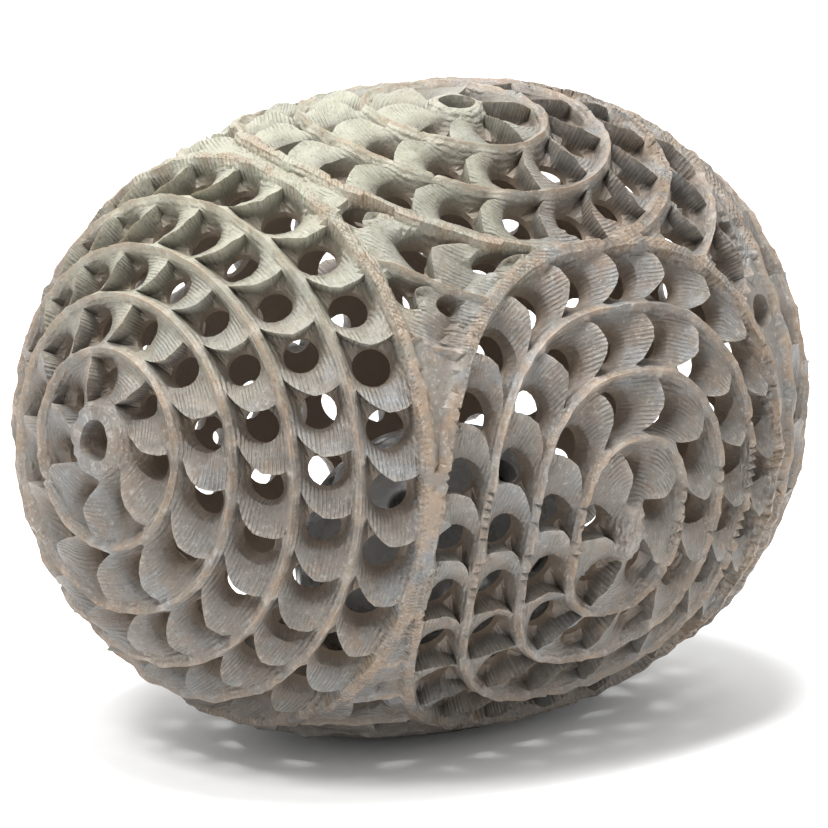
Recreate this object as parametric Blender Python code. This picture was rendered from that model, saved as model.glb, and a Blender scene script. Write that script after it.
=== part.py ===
"""A hollow marble egg lying on its side, pierced all over with whorls of scales,
and the smaller pierced egg that lies loose inside it.

Metres, +Z up, the egg's length along X. The origin is on the flat base, under the egg's middle.
"""

import math

import bmesh
import bpy
from mathutils import Vector
from mathutils.geometry import delaunay_2d_cdt
from mathutils.kdtree import KDTree

# The shell.
SHELL_LENGTH = 0.1272      # tip to tip
SHELL_WIDTH = 0.0970       # across its waist
SHELL_WALL = 0.0043        # thickness of the stone
SHELL_TAPER = 0.039        # how much wider the +X half is than the -X half
SHELL_FULLNESS = 0.18      # how much blunter both ends are than an ellipsoid's
BASE_CUT = 0.0015          # cut off the underside, so that the egg lies still
BASE_DROP = SHELL_WIDTH / 2 - BASE_CUT   # from the egg's axis down to its flat base

# The carving of the shell.
SCALE_PITCH = 0.0094       # from one scale's tip to the next along a row
PLAIN_PITCH = 0.0135       # the same on the sides that are carved more plainly
RIB_WIDTH = 0.0017         # rib between two rows
BORDER_WIDTH = 0.0023      # rib around a whole whorl
HOLE_MARGIN = 0.00015      # between a rib's foot and a hole
TIP_PLACE = -0.0022        # a scale's tip, from the middle of its place
TIP_OUTER = 0.0014         # the tip's corners, from the middle of the row
TIP_INNER = -0.0010
OUTER_REACH = 0.0014       # how far the tip runs ahead of the scale's corners at the two ribs
INNER_REACH = 0.0032
TIP_RISE = 0.0003          # a scale's tip above the skin
HOLE_PLACE = 0.0002        # middle of the hole, from the middle of its place
RIM_ANGLE = 42             # degrees, to the corners of the round rim
RIM_BULGE = 1.15           # reach of those corners over the round rim's own
OUTER_ANGLES = (162, 126)  # degrees around the hole, of the outer corners of tip and scale
INNER_ANGLES = (-168, -124)    # the same on the inner side
RIM_DROP = 0.0015          # the round rim of a hole below the skin
DRILL_RADIUS = 0.0030      # the hole through the stone
HOLE_CORNERS = 5           # corners of the drilled hole
EYE_DRILL = 0.85           # drilled hole of an eye, as a share of its rim
LEAST_LENGTH = 0.0038      # a scale shorter or narrower than this stays solid
LEAST_WIDTH = 0.0048
LEAST_BRIDGE = 0.0011      # stone left between two holes
LONGEST_SIDE = 0.0105      # of an opening, so that badly slanted scales stay solid
FULL_SHARE = 0.36          # half a full-size hole, as a share of the pitch
TONGUE_SHARE = 0.45        # how far behind a scale's middle no plain hole may lie
GAP_RADII = (0.0021, 0.0031)   # least and most of the plain holes where no row runs
GAP_SEARCH = 0.0018        # between the places that are tried for them
FLAT_CORNERS = 16          # corners of the two round flats inside
GAP_STEP = 0.0005          # length of skin that a direction's change is measured on
BORDER_SHARE = 0.15        # half a border, as a share of a row's width
SIDE_SAMPLES = 5           # points on each side of an opening that are tried for room
TRY_REACH = 3 * SCALE_PITCH    # how far away the openings lie that are tried for room
TONGUE_PLACES = (-0.3, 0, 0.3)   # shares of a scale's width where its tongue is stone
HOLE_FITS = ((1.0, 0.0), (0.85, -0.07), (0.85, 0.07), (0.7, -0.14), (0.7, 0.14),
             (0.55, -0.2), (0.55, 0.2))   # size of a hole and its slide across the row

# The fluted rim of the base.
FLUTES = 34
FLUTE_DEPTH = 0.0010
FLUTE_LENGTH = 0.0085      # up the side of the egg
FLUTE_RISE = 0.0031        # height where the flutes end
BASE_MARGIN = 0.0012       # plain stone between the flutes and the carving

# The loose egg inside.
INNER_LENGTH = 0.0460
INNER_WIDTH = 0.0410
INNER_WALL = 0.0030
INNER_TAPER = 0.03
INNER_FULLNESS = 0.05
INNER_HOLE_RADIUS = 0.0023
INNER_HOLE_ROWS = ((46, 5), (90, 9), (134, 5))   # degrees from -X, holes
INNER_FLAT = 0.0040        # radius of the small flat that it rests on
INNER_FLAT_MARGIN = 0.0004     # kept clear around it
INNER_PLACE = 0.0050       # along X from the shell's middle
RESTING_GAP = 0.0003
FLOOR_RADIUS = 0.0075      # of the flat in the bottom of the hollow

FILL_SPACING = 0.0062      # between the points that keep solid stone round


class Egg:
    """The outline of an egg along X, as directions from its middle."""

    def __init__(self, length, width, taper, fullness, middle):
        self.half_length = length / 2
        self.half_width = width / 2
        self.taper = taper
        self.fullness = fullness
        self.middle = Vector(middle)

    def swell(self, x):
        return 1 + self.taper * x + self.fullness * x * x

    def skin(self, way, lift=0.0):
        """The point in direction way, lifted off the skin by lift."""
        swell = self.swell(way.x)
        point = Vector((way.x * self.half_length,
                        way.y * self.half_width * swell,
                        way.z * self.half_width * swell))
        if lift:
            point += self.normal(way, point) * lift
        return point + self.middle

    def normal(self, way, point):
        swell = self.swell(way.x)
        slope = self.taper + 2 * self.fullness * way.x
        across = point.y ** 2 + point.z ** 2
        size = (self.half_width * swell) ** 2
        along = point.x / self.half_length ** 2 - across * slope / (size * swell * self.half_length)
        return Vector((along, point.y / size, point.z / size)).normalized()

    def way(self, point):
        """The direction of a point on or near the skin."""
        offset = Vector(point) - self.middle
        x = max(-1.0, min(1.0, offset.x / self.half_length))
        swell = self.swell(x)
        return Vector((x, offset.y / (self.half_width * swell),
                       offset.z / (self.half_width * swell))).normalized()


class Whorl:
    """Nested oval loops around one direction; loop 0 is the innermost.

    The ovals' half sizes are angles: across is the one nearer to the egg's length.
    """

    def __init__(self, middle, first, step, rows, outer_rows=0, squareness=2.0,
                 drift=(0.0, 0.0), counts=None, turns=None, pitch=SCALE_PITCH, eye=0.0):
        self.eye = eye             # rim of the round hole in the middle, as a share of its room
        self.middle = Vector(middle).normalized()
        reference = Vector((1, 0, 0)) if abs(self.middle.x) < 0.8 else Vector((0, 0, 1))
        self.across = (reference - self.middle * reference.dot(self.middle)).normalized()
        self.up = self.middle.cross(self.across)
        self.first = first
        self.step = step
        self.rows = rows
        self.outer_rows = outer_rows
        self.squareness = squareness
        self.drift = drift
        self.counts = counts or {}
        self.turns = turns or {}
        self.pitch = pitch

    def half_sizes(self, loop):
        return (math.radians(self.first[0] + self.step[0] * loop),
                math.radians(self.first[1] + self.step[1] * loop))

    def shift(self, loop):
        share = max(0.0, 1 - loop / 3)
        return math.radians(self.drift[0] * share), math.radians(self.drift[1] * share)

    def way(self, loop, turn):
        """The direction at an angle turn around a loop."""
        half_across, half_up = self.half_sizes(loop)
        shift_across, shift_up = self.shift(loop)
        power = 2 / self.squareness
        cos, sin = math.cos(turn), math.sin(turn)
        across = half_across * math.copysign(abs(cos) ** power, cos) + shift_across
        up = half_up * math.copysign(abs(sin) ** power, sin) + shift_up
        reach = math.hypot(across, up)
        if reach < 1e-9:
            return self.middle.copy()
        sideways = (self.across * across + self.up * up) / reach
        return self.middle * math.cos(reach) + sideways * math.sin(reach)

    def holds(self, way, loop):
        """Whether a direction lies inside a loop."""
        cos = max(-1.0, min(1.0, way.dot(self.middle)))
        reach = math.acos(cos)
        sideways = way - self.middle * cos
        if sideways.length < 1e-9:
            return True
        sideways.normalize()
        half_across, half_up = self.half_sizes(loop)
        shift_across, shift_up = self.shift(loop)
        across = (reach * sideways.dot(self.across) - shift_across) / half_across
        up = (reach * sideways.dot(self.up) - shift_up) / half_up
        return abs(across) ** self.squareness + abs(up) ** self.squareness < 1


def base_reach(egg, turn):
    """How far from the origin the egg's skin meets the plane of the base."""
    near, far = 0.0, egg.half_length
    for _ in range(30):
        reach = (near + far) / 2
        x = reach * math.cos(turn)
        width = egg.half_width * egg.swell(x / egg.half_length)
        width *= math.sqrt(max(0.0, 1 - (x / egg.half_length) ** 2))
        if math.hypot(reach * math.sin(turn), BASE_DROP) < width:
            near = reach
        else:
            far = reach
    return near


def base_half_sizes(egg):
    """Degrees from the lowest point to where the carving around the base starts."""
    margin = FLUTE_LENGTH + BASE_MARGIN
    along = (base_reach(egg, 0) + margin) / egg.half_length
    across = (base_reach(egg, math.pi / 2) + margin) / egg.half_width
    return math.degrees(math.asin(along)), math.degrees(math.asin(across))


SHELL = Egg(SHELL_LENGTH, SHELL_WIDTH, SHELL_TAPER, SHELL_FULLNESS, (0, 0, BASE_DROP))

# The whorls, the ones that cut into others first. Degrees, and loops from the innermost out.
LEFT_END = Whorl((-1, 0, 0), (5, 5), (9.7, 9.7), rows=5, drift=(4.0, -1.5),
                 counts={0: 7, 1: 12, 2: 19, 3: 24, 4: 26},
                 turns={0: 30, 1: 1.2, 2: 12.6, 3: 11, 4: 11.5}, eye=0.75)
FRONT = Whorl((-0.057, -0.973, -0.230), (1.6, 4.9), (7.55, 11.2), rows=4, squareness=2.5,
              counts={0: 5, 1: 11, 2: 18, 3: 23}, turns={0: 54, 1: 13.6, 2: 3.3, 3: 9.4})
RIGHT_END = Whorl((1, 0, 0), (6, 6), (10.2, 10.2), rows=5, counts={4: 24}, pitch=PLAIN_PITCH,
                  eye=1.0)
TOP = Whorl((-0.06, -0.25, 0.967), (3.5, 4), (8.8, 11.7), rows=3, outer_rows=2, eye=0.9)
BACK = Whorl((0, 1, 0.02), (4, 5), (7.6, 11.9), rows=4, squareness=2.3, pitch=PLAIN_PITCH)
UNDERSIDE = Whorl((0, 0, -1), base_half_sizes(SHELL), (8.5, 10.5), rows=0, outer_rows=5,
                  pitch=PLAIN_PITCH)
WHORLS = (LEFT_END, FRONT, RIGHT_END, TOP, BACK, UNDERSIDE)
TABLE_STEPS = 96           # samples around a row
CROSS_PLACES = (0.2, 0.5, 0.8)   # shares of a row's width where its ends are worked out
TURN_SAMPLES = 180         # places around a whorl that are tried against the other whorls


class Row:
    """One free stretch of the row between two neighbouring loops of a whorl."""

    def __init__(self, egg, whorl, loop, ends, blocked, is_whole):
        self.blocked = blocked
        self.is_whole = is_whole
        self.egg = egg
        self.whorl = whorl
        self.loop = loop
        self.ends = ends           # (low turn, high turn) at each of CROSS_PLACES
        low, high = ends[1]
        points = [egg.skin(whorl.way(loop + 0.5, high + (low - high) * k / TABLE_STEPS))
                  for k in range(TABLE_STEPS + 1)]
        self.lengths = [0.0]
        for a, b in zip(points, points[1:]):
            self.lengths.append(self.lengths[-1] + (b - a).length)
        self.length = self.lengths[-1]

    def share(self, along):
        """The share of the turn at a share of the row's length."""
        target = along * self.length
        for k in range(TABLE_STEPS):
            if self.lengths[k + 1] >= target or k == TABLE_STEPS - 1:
                step = self.lengths[k + 1] - self.lengths[k]
                return (k + (target - self.lengths[k]) / max(step, 1e-12)) / TABLE_STEPS

    def way(self, along, across):
        """The direction at shares along the row, with the flow, and across it, outwards."""
        k = 0 if across < CROSS_PLACES[1] else 1
        blend = (across - CROSS_PLACES[k]) / (CROSS_PLACES[k + 1] - CROSS_PLACES[k])
        low = self.ends[k][0] * (1 - blend) + self.ends[k + 1][0] * blend
        high = self.ends[k][1] * (1 - blend) + self.ends[k + 1][1] * blend
        return self.whorl.way(self.loop + across, high + (low - high) * self.share(along))


class Scale:
    """One scale of a row and the hole ahead of it, in metres from the middle of its place."""

    def __init__(self, row, start, end):
        self.row = row
        self.start = start
        self.end = end
        egg = row.egg
        middle = (start + end) / 2
        reach = []
        for across in CROSS_PLACES:
            reach.append((egg.skin(row.way(end, across)) - egg.skin(row.way(start, across))).length)
        self.length = min(reach)
        self.full_length = reach[1]
        self.width = (egg.skin(row.way(middle, 1)) - egg.skin(row.way(middle, 0))).length
        self.size = 1.0
        self.slide = 0.0

    def way(self, x, y):
        """x runs with the flow and y outwards."""
        middle = (self.start + self.end) / 2
        along = middle + (self.end - self.start) * x / self.full_length
        return self.row.way(along, 0.5 + self.slide + y / self.width)

    def is_blocked(self, way):
        return self.row.blocked(way, BORDER_SHARE)

    def opening(self):
        """Corners of the opening: x, y, height over the skin, and angle around the hole."""
        half = (self.width / 2 - RIB_WIDTH / 2 - HOLE_MARGIN) * self.size
        shortness = min(1.0, self.length / SCALE_PITCH)
        fit = min(shortness, half / (SCALE_PITCH * FULL_SHARE))
        tip = TIP_PLACE * fit
        turn = math.radians(RIM_ANGLE)
        x = HOLE_PLACE * fit + RIM_BULGE * half * shortness * math.cos(turn)
        y = RIM_BULGE * half * math.sin(turn)
        corners = [(tip, TIP_OUTER * fit, TIP_RISE, OUTER_ANGLES[0]),
                   (tip - OUTER_REACH * fit, half, -TIP_RISE, OUTER_ANGLES[1]),
                   (x, y, -RIM_DROP, RIM_ANGLE),
                   (x, -y, -RIM_DROP, -RIM_ANGLE),
                   (tip - INNER_REACH * fit, -half, -TIP_RISE, INNER_ANGLES[1]),
                   (tip, TIP_INNER * fit, TIP_RISE, INNER_ANGLES[0])]
        return corners, fit

    def drilled(self, fit):
        """Corners of the drilled hole on the inner skin: x, y, angle."""
        radius = DRILL_RADIUS * fit
        return [(HOLE_PLACE * fit + x, y, angle)
                for x, y, _, angle in ring_corners(radius, HOLE_CORNERS, 0.0)]


def ring_corners(radius, count, height):
    """Corners of a round hole, their angles falling from 180: x, y, height, angle."""
    corners = []
    for k in range(count):
        angle = 180 - (k + 0.5) * 360 / count
        turn = math.radians(angle)
        corners.append((radius * math.cos(turn), radius * math.sin(turn), height, angle))
    return corners


class Eye:
    """The round hole in the middle of a whorl."""

    def __init__(self, egg, whorl):
        self.whorl = whorl
        self.size = 1.0
        self.slide = 0.0
        reach = math.radians(whorl.first[1])
        self.scale = reach / (egg.skin(whorl.way(0, math.pi / 2)) - egg.skin(whorl.way(0, 0))).length
        self.scale *= math.sqrt(2)
        self.length = self.width = 2 * reach / self.scale + SCALE_PITCH / 2
        self.radius = (reach / self.scale - RIB_WIDTH / 2) * whorl.eye

    def way(self, x, y):
        shift_across, shift_up = self.whorl.shift(0)
        across = x * self.scale + shift_across
        up = y * self.scale + shift_up
        sideways = self.whorl.across * across + self.whorl.up * up
        return (self.whorl.middle + sideways).normalized()

    def is_blocked(self, way):
        return False

    def opening(self):
        return ring_corners(self.radius, HOLE_CORNERS + 1, 0.0), EYE_DRILL

    def drilled(self, fit):
        return [(x, y, angle)
                for x, y, _, angle in ring_corners(self.radius * fit, HOLE_CORNERS + 1, 0.0)]


class Gap:
    """A plain round hole where no row runs."""

    def __init__(self, egg, middle, radius):
        self.middle = middle
        self.radius = radius
        self.side = middle.orthogonal().normalized()
        self.rise = middle.cross(self.side)
        step = GAP_STEP / egg.half_width
        self.scales = []
        for way in (self.side, self.rise):
            moved = egg.skin((middle + way * step).normalized())
            self.scales.append(step / (moved - egg.skin(middle)).length)

    def way(self, x, y):
        return (self.middle + self.side * x * self.scales[0] +
                self.rise * y * self.scales[1]).normalized()

    def opening(self):
        return ring_corners(self.radius, HOLE_CORNERS, 0.0), EYE_DRILL

    def drilled(self, fit):
        return [(x, y, angle)
                for x, y, _, angle in ring_corners(self.radius * fit, HOLE_CORNERS, 0.0)]


def free_turns(whorl, loop, middle, limits, blocked):
    """How far a loop runs from an angle each way before it meets another whorl."""
    if blocked(whorl.way(loop, middle)):
        return limits
    ends = []
    for limit in limits:
        steps = max(1, round(abs(limit - middle) / math.radians(2)))
        inside, outside = middle, None
        for k in range(1, steps + 1):
            turn = middle + (limit - middle) * k / steps
            if blocked(whorl.way(loop, turn)):
                outside = turn
                break
            inside = turn
        for _ in range(12 if outside is not None else 0):
            half = (inside + outside) / 2
            if blocked(whorl.way(loop, half)):
                outside = half
            else:
                inside = half
        ends.append(inside)
    return tuple(ends)


def whorl_rows(egg, order):
    """The free stretches of every row of one whorl."""
    whorl = WHORLS[order]
    rows = []
    for loop in range(whorl.rows + whorl.outer_rows):
        walls = [(other, other.rows) for other in WHORLS[:order]]
        if loop >= whorl.rows:
            walls = [(other, other.rows) for other in WHORLS if other is not whorl and other.rows]
            walls += [(other, other.rows + other.outer_rows) for other in WHORLS[:order]]

        def blocked(way, margin=0.0):
            return any(other.holds(way, edge + margin) for other, edge in walls)

        free = []
        for k in range(TURN_SAMPLES):
            turn = math.tau * k / TURN_SAMPLES
            free.append(not any(blocked(whorl.way(loop + across, turn)) for across in CROSS_PLACES))
        if all(free):
            turn = math.radians(whorl.turns.get(loop, 180 / (loop + 1)))
            ends = [(turn, turn + math.tau)] * len(CROSS_PLACES)
            rows.append(Row(egg, whorl, loop, ends, blocked, True))
            continue
        starts = [k for k in range(TURN_SAMPLES) if free[k] and not free[k - 1]]
        for start in starts:
            count = 0
            while free[(start + count) % TURN_SAMPLES]:
                count += 1
            before, after = 0, 0
            while not free[start - 1 - before]:
                before += 1
            while not free[(start + count + after) % TURN_SAMPLES]:
                after += 1
            slant = SCALE_PITCH / 2 / (sum(whorl.half_sizes(loop)) / 2 * egg.half_width)
            slant *= TURN_SAMPLES / math.tau
            places = (start + (count - 1) / 2, start - min(before / 2, slant),
                      start + count - 1 + min(after / 2, slant))
            middle, low, high = (math.tau * place / TURN_SAMPLES for place in places)
            ends = [free_turns(whorl, loop + across, middle, (low, high), blocked)
                    for across in CROSS_PLACES]
            rows.append(Row(egg, whorl, loop, ends, blocked, False))
    return rows


def carve_scales(egg):
    """Every pierced scale of the shell, each hole clear of the borders and of the other holes."""
    scales = []
    outlines = []
    for order, whorl in enumerate(WHORLS):
        found = []
        if whorl.eye:
            found.append(Eye(egg, whorl))
        for row in whorl_rows(egg, order):
            count = max(1, round(row.length / whorl.pitch))
            if row.is_whole:
                count = whorl.counts.get(row.loop, count)
            found += [Scale(row, k / count, (k + 1) / count) for k in range(count)]
        for scale in found:
            if scale.length < LEAST_LENGTH or scale.width < LEAST_WIDTH:
                continue
            for size, slide in HOLE_FITS:
                scale.size, scale.slide = size, slide
                ways = [scale.way(x, y) for x, y, _, _ in scale.opening()[0]]
                outline = [egg.skin(way) for way in ways]
                sides = list(zip(outline, outline[1:] + outline[:1]))
                if max((a - b).length for a, b in sides) > LONGEST_SIDE:
                    continue
                outline = [a.lerp(b, k / SIDE_SAMPLES) for a, b in sides for k in range(SIDE_SAMPLES)]
                if any(scale.is_blocked(way) for way in ways):
                    continue
                near = any((a - b).length < LEAST_BRIDGE for other in outlines for b in other
                           if (other[0] - outline[0]).length < TRY_REACH for a in outline)
                if not near:
                    outlines.append(outline)
                    scales.append(scale)
                    break
    return scales + carve_gaps(egg, scales, outlines)


def carve_gaps(egg, scales, outlines):
    """Plain holes in what the rows leave free, the roomiest places first."""
    solid = []
    for whorl in WHORLS:
        solid += [egg.skin(whorl.way(whorl.rows, math.tau * k / TURN_SAMPLES))
                  for k in range(TURN_SAMPLES)]
    borders = make_tree(solid)
    hollow = []
    for outline in outlines:
        middle = sum(outline, Vector()) / len(outline)
        hollow += outline + [middle] + [middle.lerp(point, 0.5) for point in outline]
    for scale in scales:
        behind = -scale.length * TONGUE_SHARE
        hollow += [egg.skin(scale.way(behind, scale.width * share)) for share in TONGUE_PLACES]
    holes = make_tree(hollow)
    rooms = []
    for way in fill_ways(GAP_SEARCH, (egg.half_length + egg.half_width) / 2):
        if not is_beside_base(way):
            continue
        point = egg.skin(way)
        room = min(holes.find(point)[2], borders.find(point)[2] - BORDER_WIDTH / 2) - LEAST_BRIDGE
        if room > GAP_RADII[0]:
            rooms.append((min(room, GAP_RADII[1]), way, point))
    rooms.sort(key=lambda item: -item[0])
    gaps = []
    for room, way, point in rooms:
        if all((point - other).length > room + radius + LEAST_BRIDGE for other, radius, _ in gaps):
            gaps.append((point, room, Gap(egg, way, room)))
    return [gap for _, _, gap in gaps]


def make_tree(points):
    tree = KDTree(len(points))
    for number, point in enumerate(points):
        tree.insert(point, number)
    tree.balance()
    return tree


class Sheet:
    """Points on a closed skin around holes, laid flat from its lowest point.

    The loop around the lowest point is the outermost one when laid flat, and a fan closes it.
    """

    def __init__(self):
        self.flat = []
        self.points = []
        self.edges = []
        self.holes = []
        self.cap = None

    def add(self, way, point):
        scale = 1 / (1 + way.z)
        self.flat.append(Vector((way.x * scale, way.y * scale)))
        self.points.append(point)
        return len(self.points) - 1

    def add_loop(self, items, is_hole=True):
        """Adds a closed run of (way, point) pairs."""
        loop = [self.add(way, point) for way, point in items]
        self.edges += list(zip(loop, loop[1:] + loop[:1]))
        if is_hole:
            self.holes.append(loop)
        return loop

    def add_cap(self, items, middle):
        """Adds the loop around the lowest point, with the point that its fan meets in."""
        self.cap = (self.add_loop(items, is_hole=False), middle)

    def faces(self):
        """Triangles over the skin, with the holes left open."""
        _, _, faces, origins, _, _ = delaunay_2d_cdt(self.flat, self.edges, [], 0, 1e-9)
        assert all(len(origin) == 1 for origin in origins)
        cap_loop, cap_middle = self.cap
        owner = {index: -1 for index in cap_loop}
        for number, loop in enumerate(self.holes):
            for index in loop:
                owner[index] = number
        kept = []
        for face in faces:
            corners = [origins[index][0] for index in face]
            owners = {owner.get(index) for index in corners}
            if len(owners) == 1 and None not in owners:
                number = owners.pop()
                loop = self.holes[number] if number >= 0 else cap_loop
                centre = (self.flat[corners[0]] + self.flat[corners[1]] + self.flat[corners[2]]) / 3
                if is_inside(centre, [self.flat[index] for index in loop]) == (number >= 0):
                    continue
            kept.append(corners)
        self.points.append(cap_middle)
        fan = [(a, b, len(self.points) - 1) for a, b in zip(cap_loop, cap_loop[1:] + cap_loop[:1])]
        return kept + fan


def is_inside(point, loop):
    """Whether a flat point lies inside a closed outline."""
    inside = False
    for a, b in zip(loop, loop[1:] + loop[:1]):
        if (a.y > point.y) != (b.y > point.y):
            if point.x < a.x + (point.y - a.y) * (b.x - a.x) / (b.y - a.y):
                inside = not inside
    return inside


def bridge(outer, outer_angles, inner, inner_angles):
    """Triangles of the wall between two loops, whose angles both fall from 180 to -180."""
    faces = []
    i, j = 0, 0
    while i < len(outer) or j < len(inner):
        angle_a = outer_angles[i] if i < len(outer) else -999
        angle_b = inner_angles[j] if j < len(inner) else -999
        a, b = outer[i % len(outer)], inner[j % len(inner)]
        if angle_a >= angle_b:
            faces.append((a, b, outer[(i + 1) % len(outer)]))
            i += 1
        else:
            faces.append((a, b, inner[(j + 1) % len(inner)]))
            j += 1
    return faces


def fill_ways(spacing, size):
    """Evenly spread directions, about spacing apart on a ball of the given radius."""
    count = int(4 * math.pi * size * size / (spacing * spacing))
    golden = math.pi * (3 - math.sqrt(5))
    for k in range(count):
        z = 1 - 2 * (k + 0.5) / count
        across = math.sqrt(1 - z * z)
        yield Vector((across * math.cos(golden * k), across * math.sin(golden * k), z))


def add_fill(sheet, egg, lift, spacing, is_free=lambda way: True):
    """Adds points where the stone has no hole near, so that it stays round."""
    near = list(sheet.points)
    for way in fill_ways(spacing, (egg.half_length + egg.half_width) / 2):
        point = egg.skin(way, lift)
        if is_free(way) and all((point - other).length > spacing for other in near):
            sheet.add(way, point)
            near.append(point)


def build_mesh(name, outer, inner, walls, material):
    """One closed body from an outer sheet, an inner sheet and the hole walls between them."""
    mesh = bpy.data.meshes.new(name)
    faces = [tuple(face) for face in outer.faces()]
    shift = len(outer.points)
    faces += [tuple(shift + index for index in reversed(face)) for face in inner.faces()]
    for loop, angles, ring, ring_angles in walls:
        faces += bridge(loop, angles, [shift + index for index in ring], ring_angles)
    mesh.from_pydata([tuple(point) for point in outer.points + inner.points], [], faces)
    body = bmesh.new()
    body.from_mesh(mesh)
    bmesh.ops.recalc_face_normals(body, faces=body.faces)
    if body.calc_volume(signed=True) < 0:
        bmesh.ops.reverse_faces(body, faces=body.faces)
    body.to_mesh(mesh)
    body.free()
    mesh.materials.append(material)
    piece = bpy.data.objects.new(name, mesh)
    return piece


def make_shell(material):
    egg = SHELL
    scales = carve_scales(egg)
    outer, inner = Sheet(), Sheet()
    walls = []
    for scale in scales:
        corners, fit = scale.opening()
        corners = sorted(corners, key=lambda corner: -corner[3])
        loop = []
        for x, y, height, _ in corners:
            way = scale.way(x, y)
            loop.append((way, egg.skin(way, height)))
        ring = []
        drilled = scale.drilled(fit)
        for x, y, _ in drilled:
            way = scale.way(x, y)
            ring.append((way, egg.skin(way, -SHELL_WALL)))
        walls.append((outer.add_loop(loop), [corner[3] for corner in corners],
                      inner.add_loop(ring), [corner[2] for corner in drilled]))
    add_base(outer, inner, egg)
    add_fill(outer, egg, 0.0, FILL_SPACING, is_beside_base)
    add_fill(inner, egg, -SHELL_WALL, FILL_SPACING, is_beside_base)
    return build_mesh("pierced_shell", outer, inner, walls, material)


def is_beside_base(way):
    """Whether a direction is outside the base and its flutes."""
    across, up = UNDERSIDE.half_sizes(0)
    return (way.x / math.sin(across)) ** 2 + (way.y / math.sin(up)) ** 2 > 1 or way.z > 0


def add_base(outer, inner, egg):
    """The flat base, with flutes around its rim that fade out up the egg's side."""
    rim, tops = [], []
    for k in range(2 * FLUTES):
        turn = math.tau * k / (2 * FLUTES)
        reach = base_reach(egg, turn)
        reach += FLUTE_DEPTH / 2 if k % 2 else -FLUTE_DEPTH / 2
        point = Vector((reach * math.cos(turn), reach * math.sin(turn), 0))
        rim.append((egg.way(point), point))
        if k % 2:
            far = reach + FLUTE_LENGTH
            way = egg.way((far * math.cos(turn), far * math.sin(turn), FLUTE_RISE))
            tops.append((way, egg.skin(way)))
    outer.add_cap(rim, Vector((0, 0, 0)))
    outer.add_loop(tops, is_hole=False)
    floor_rim = flat_circle(INNER_PLACE, FLOOR_RADIUS, floor_height(egg))
    inner.add_cap([(egg.way(point), point) for point in floor_rim],
                  Vector((INNER_PLACE, 0, floor_height(egg))))


def floor_height(egg):
    """The bottom of the hollow, which has a small flat where the loose egg lies."""
    return egg.skin(Vector((0, 0, -1)), -SHELL_WALL).z


def flat_circle(x, radius, height):
    turns = [math.tau * k / FLAT_CORNERS for k in range(FLAT_CORNERS)]
    return [Vector((x + radius * math.cos(turn), radius * math.sin(turn), height))
            for turn in turns]


def make_inner_egg(material):
    """The loose egg, resting on the bottom of the hollow."""
    flat_rise = INNER_WIDTH / 2 - math.sqrt((INNER_WIDTH / 2) ** 2 - INNER_FLAT ** 2)
    floor = floor_height(SHELL) + RESTING_GAP
    middle = Vector((INNER_PLACE, 0, floor + INNER_WIDTH / 2 - flat_rise))
    egg = Egg(INNER_LENGTH, INNER_WIDTH, INNER_TAPER, INNER_FULLNESS, middle)
    ways = [Vector((-1, 0, 0)), Vector((1, 0, 0))]
    for row, (polar, count) in enumerate(INNER_HOLE_ROWS):
        for k in range(count):
            turn = math.tau * (k + (0.5, 0)[row % 2]) / count
            ways.append(Vector((-math.cos(math.radians(polar)),
                                math.sin(math.radians(polar)) * math.sin(turn),
                                math.sin(math.radians(polar)) * math.cos(turn))))
    outer, inner = Sheet(), Sheet()
    walls = []
    for way in ways:
        side = way.cross(Vector((0.1, 0.3, 1))).normalized()
        rise = way.cross(side)
        corners = ring_corners(INNER_HOLE_RADIUS / egg.half_width, HOLE_CORNERS, 0.0)
        angles = [angle for _, _, _, angle in corners]
        loop, ring = [], []
        for x, y, _, _ in corners:
            away = (way + side * x + rise * y).normalized()
            loop.append((away, egg.skin(away)))
            ring.append((away, egg.skin(away, -INNER_WALL)))
        walls.append((outer.add_loop(loop), angles, inner.add_loop(ring), angles))
    flat_rim = flat_circle(middle.x, INNER_FLAT, floor)
    outer.add_cap([(egg.way(point), point) for point in flat_rim], Vector((middle.x, 0, floor)))
    inner.add_cap([(egg.way(point), egg.skin(egg.way(point), -INNER_WALL)) for point in flat_rim],
                  egg.skin(Vector((0, 0, -1)), -INNER_WALL))
    above_flat = math.cos((INNER_FLAT + INNER_FLAT_MARGIN) / (INNER_WIDTH / 2))
    add_fill(outer, egg, 0.0, FILL_SPACING, lambda way: -way.z < above_flat)
    add_fill(inner, egg, -INNER_WALL, FILL_SPACING, lambda way: -way.z < above_flat)
    return build_mesh("inner_egg", outer, inner, walls, material)


def make_material(name, colour, roughness):
    material = bpy.data.materials.new(name)
    material.use_nodes = True
    shader = material.node_tree.nodes["Principled BSDF"]
    shader.inputs["Base Color"].default_value = (*colour, 1)
    shader.inputs["Roughness"].default_value = roughness
    shader.inputs["Metallic"].default_value = 0.0
    material.diffuse_color = (*colour, 1)
    return material


def main():
    for old in list(bpy.data.objects):
        bpy.data.objects.remove(old, do_unlink=True)
    parts = bpy.data.collections.new("carved_marble_egg")
    bpy.context.scene.collection.children.link(parts)
    parts.objects.link(make_shell(make_material("soft_marble", (0.37, 0.33, 0.29), 0.55)))
    parts.objects.link(make_inner_egg(make_material("dark_marble", (0.09, 0.085, 0.08), 0.3)))


main()
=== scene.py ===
"""The looks of a hollow marble egg, pierced with whorls of scales, and the loose egg inside it.

Metres, +Z up. Both CAD nodes are replaced by finer meshes of the same form.
"""

import math
import random

import bmesh
import bpy
import numpy as np
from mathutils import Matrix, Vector
from mathutils.geometry import delaunay_2d_cdt
from mathutils.kdtree import KDTree


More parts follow.
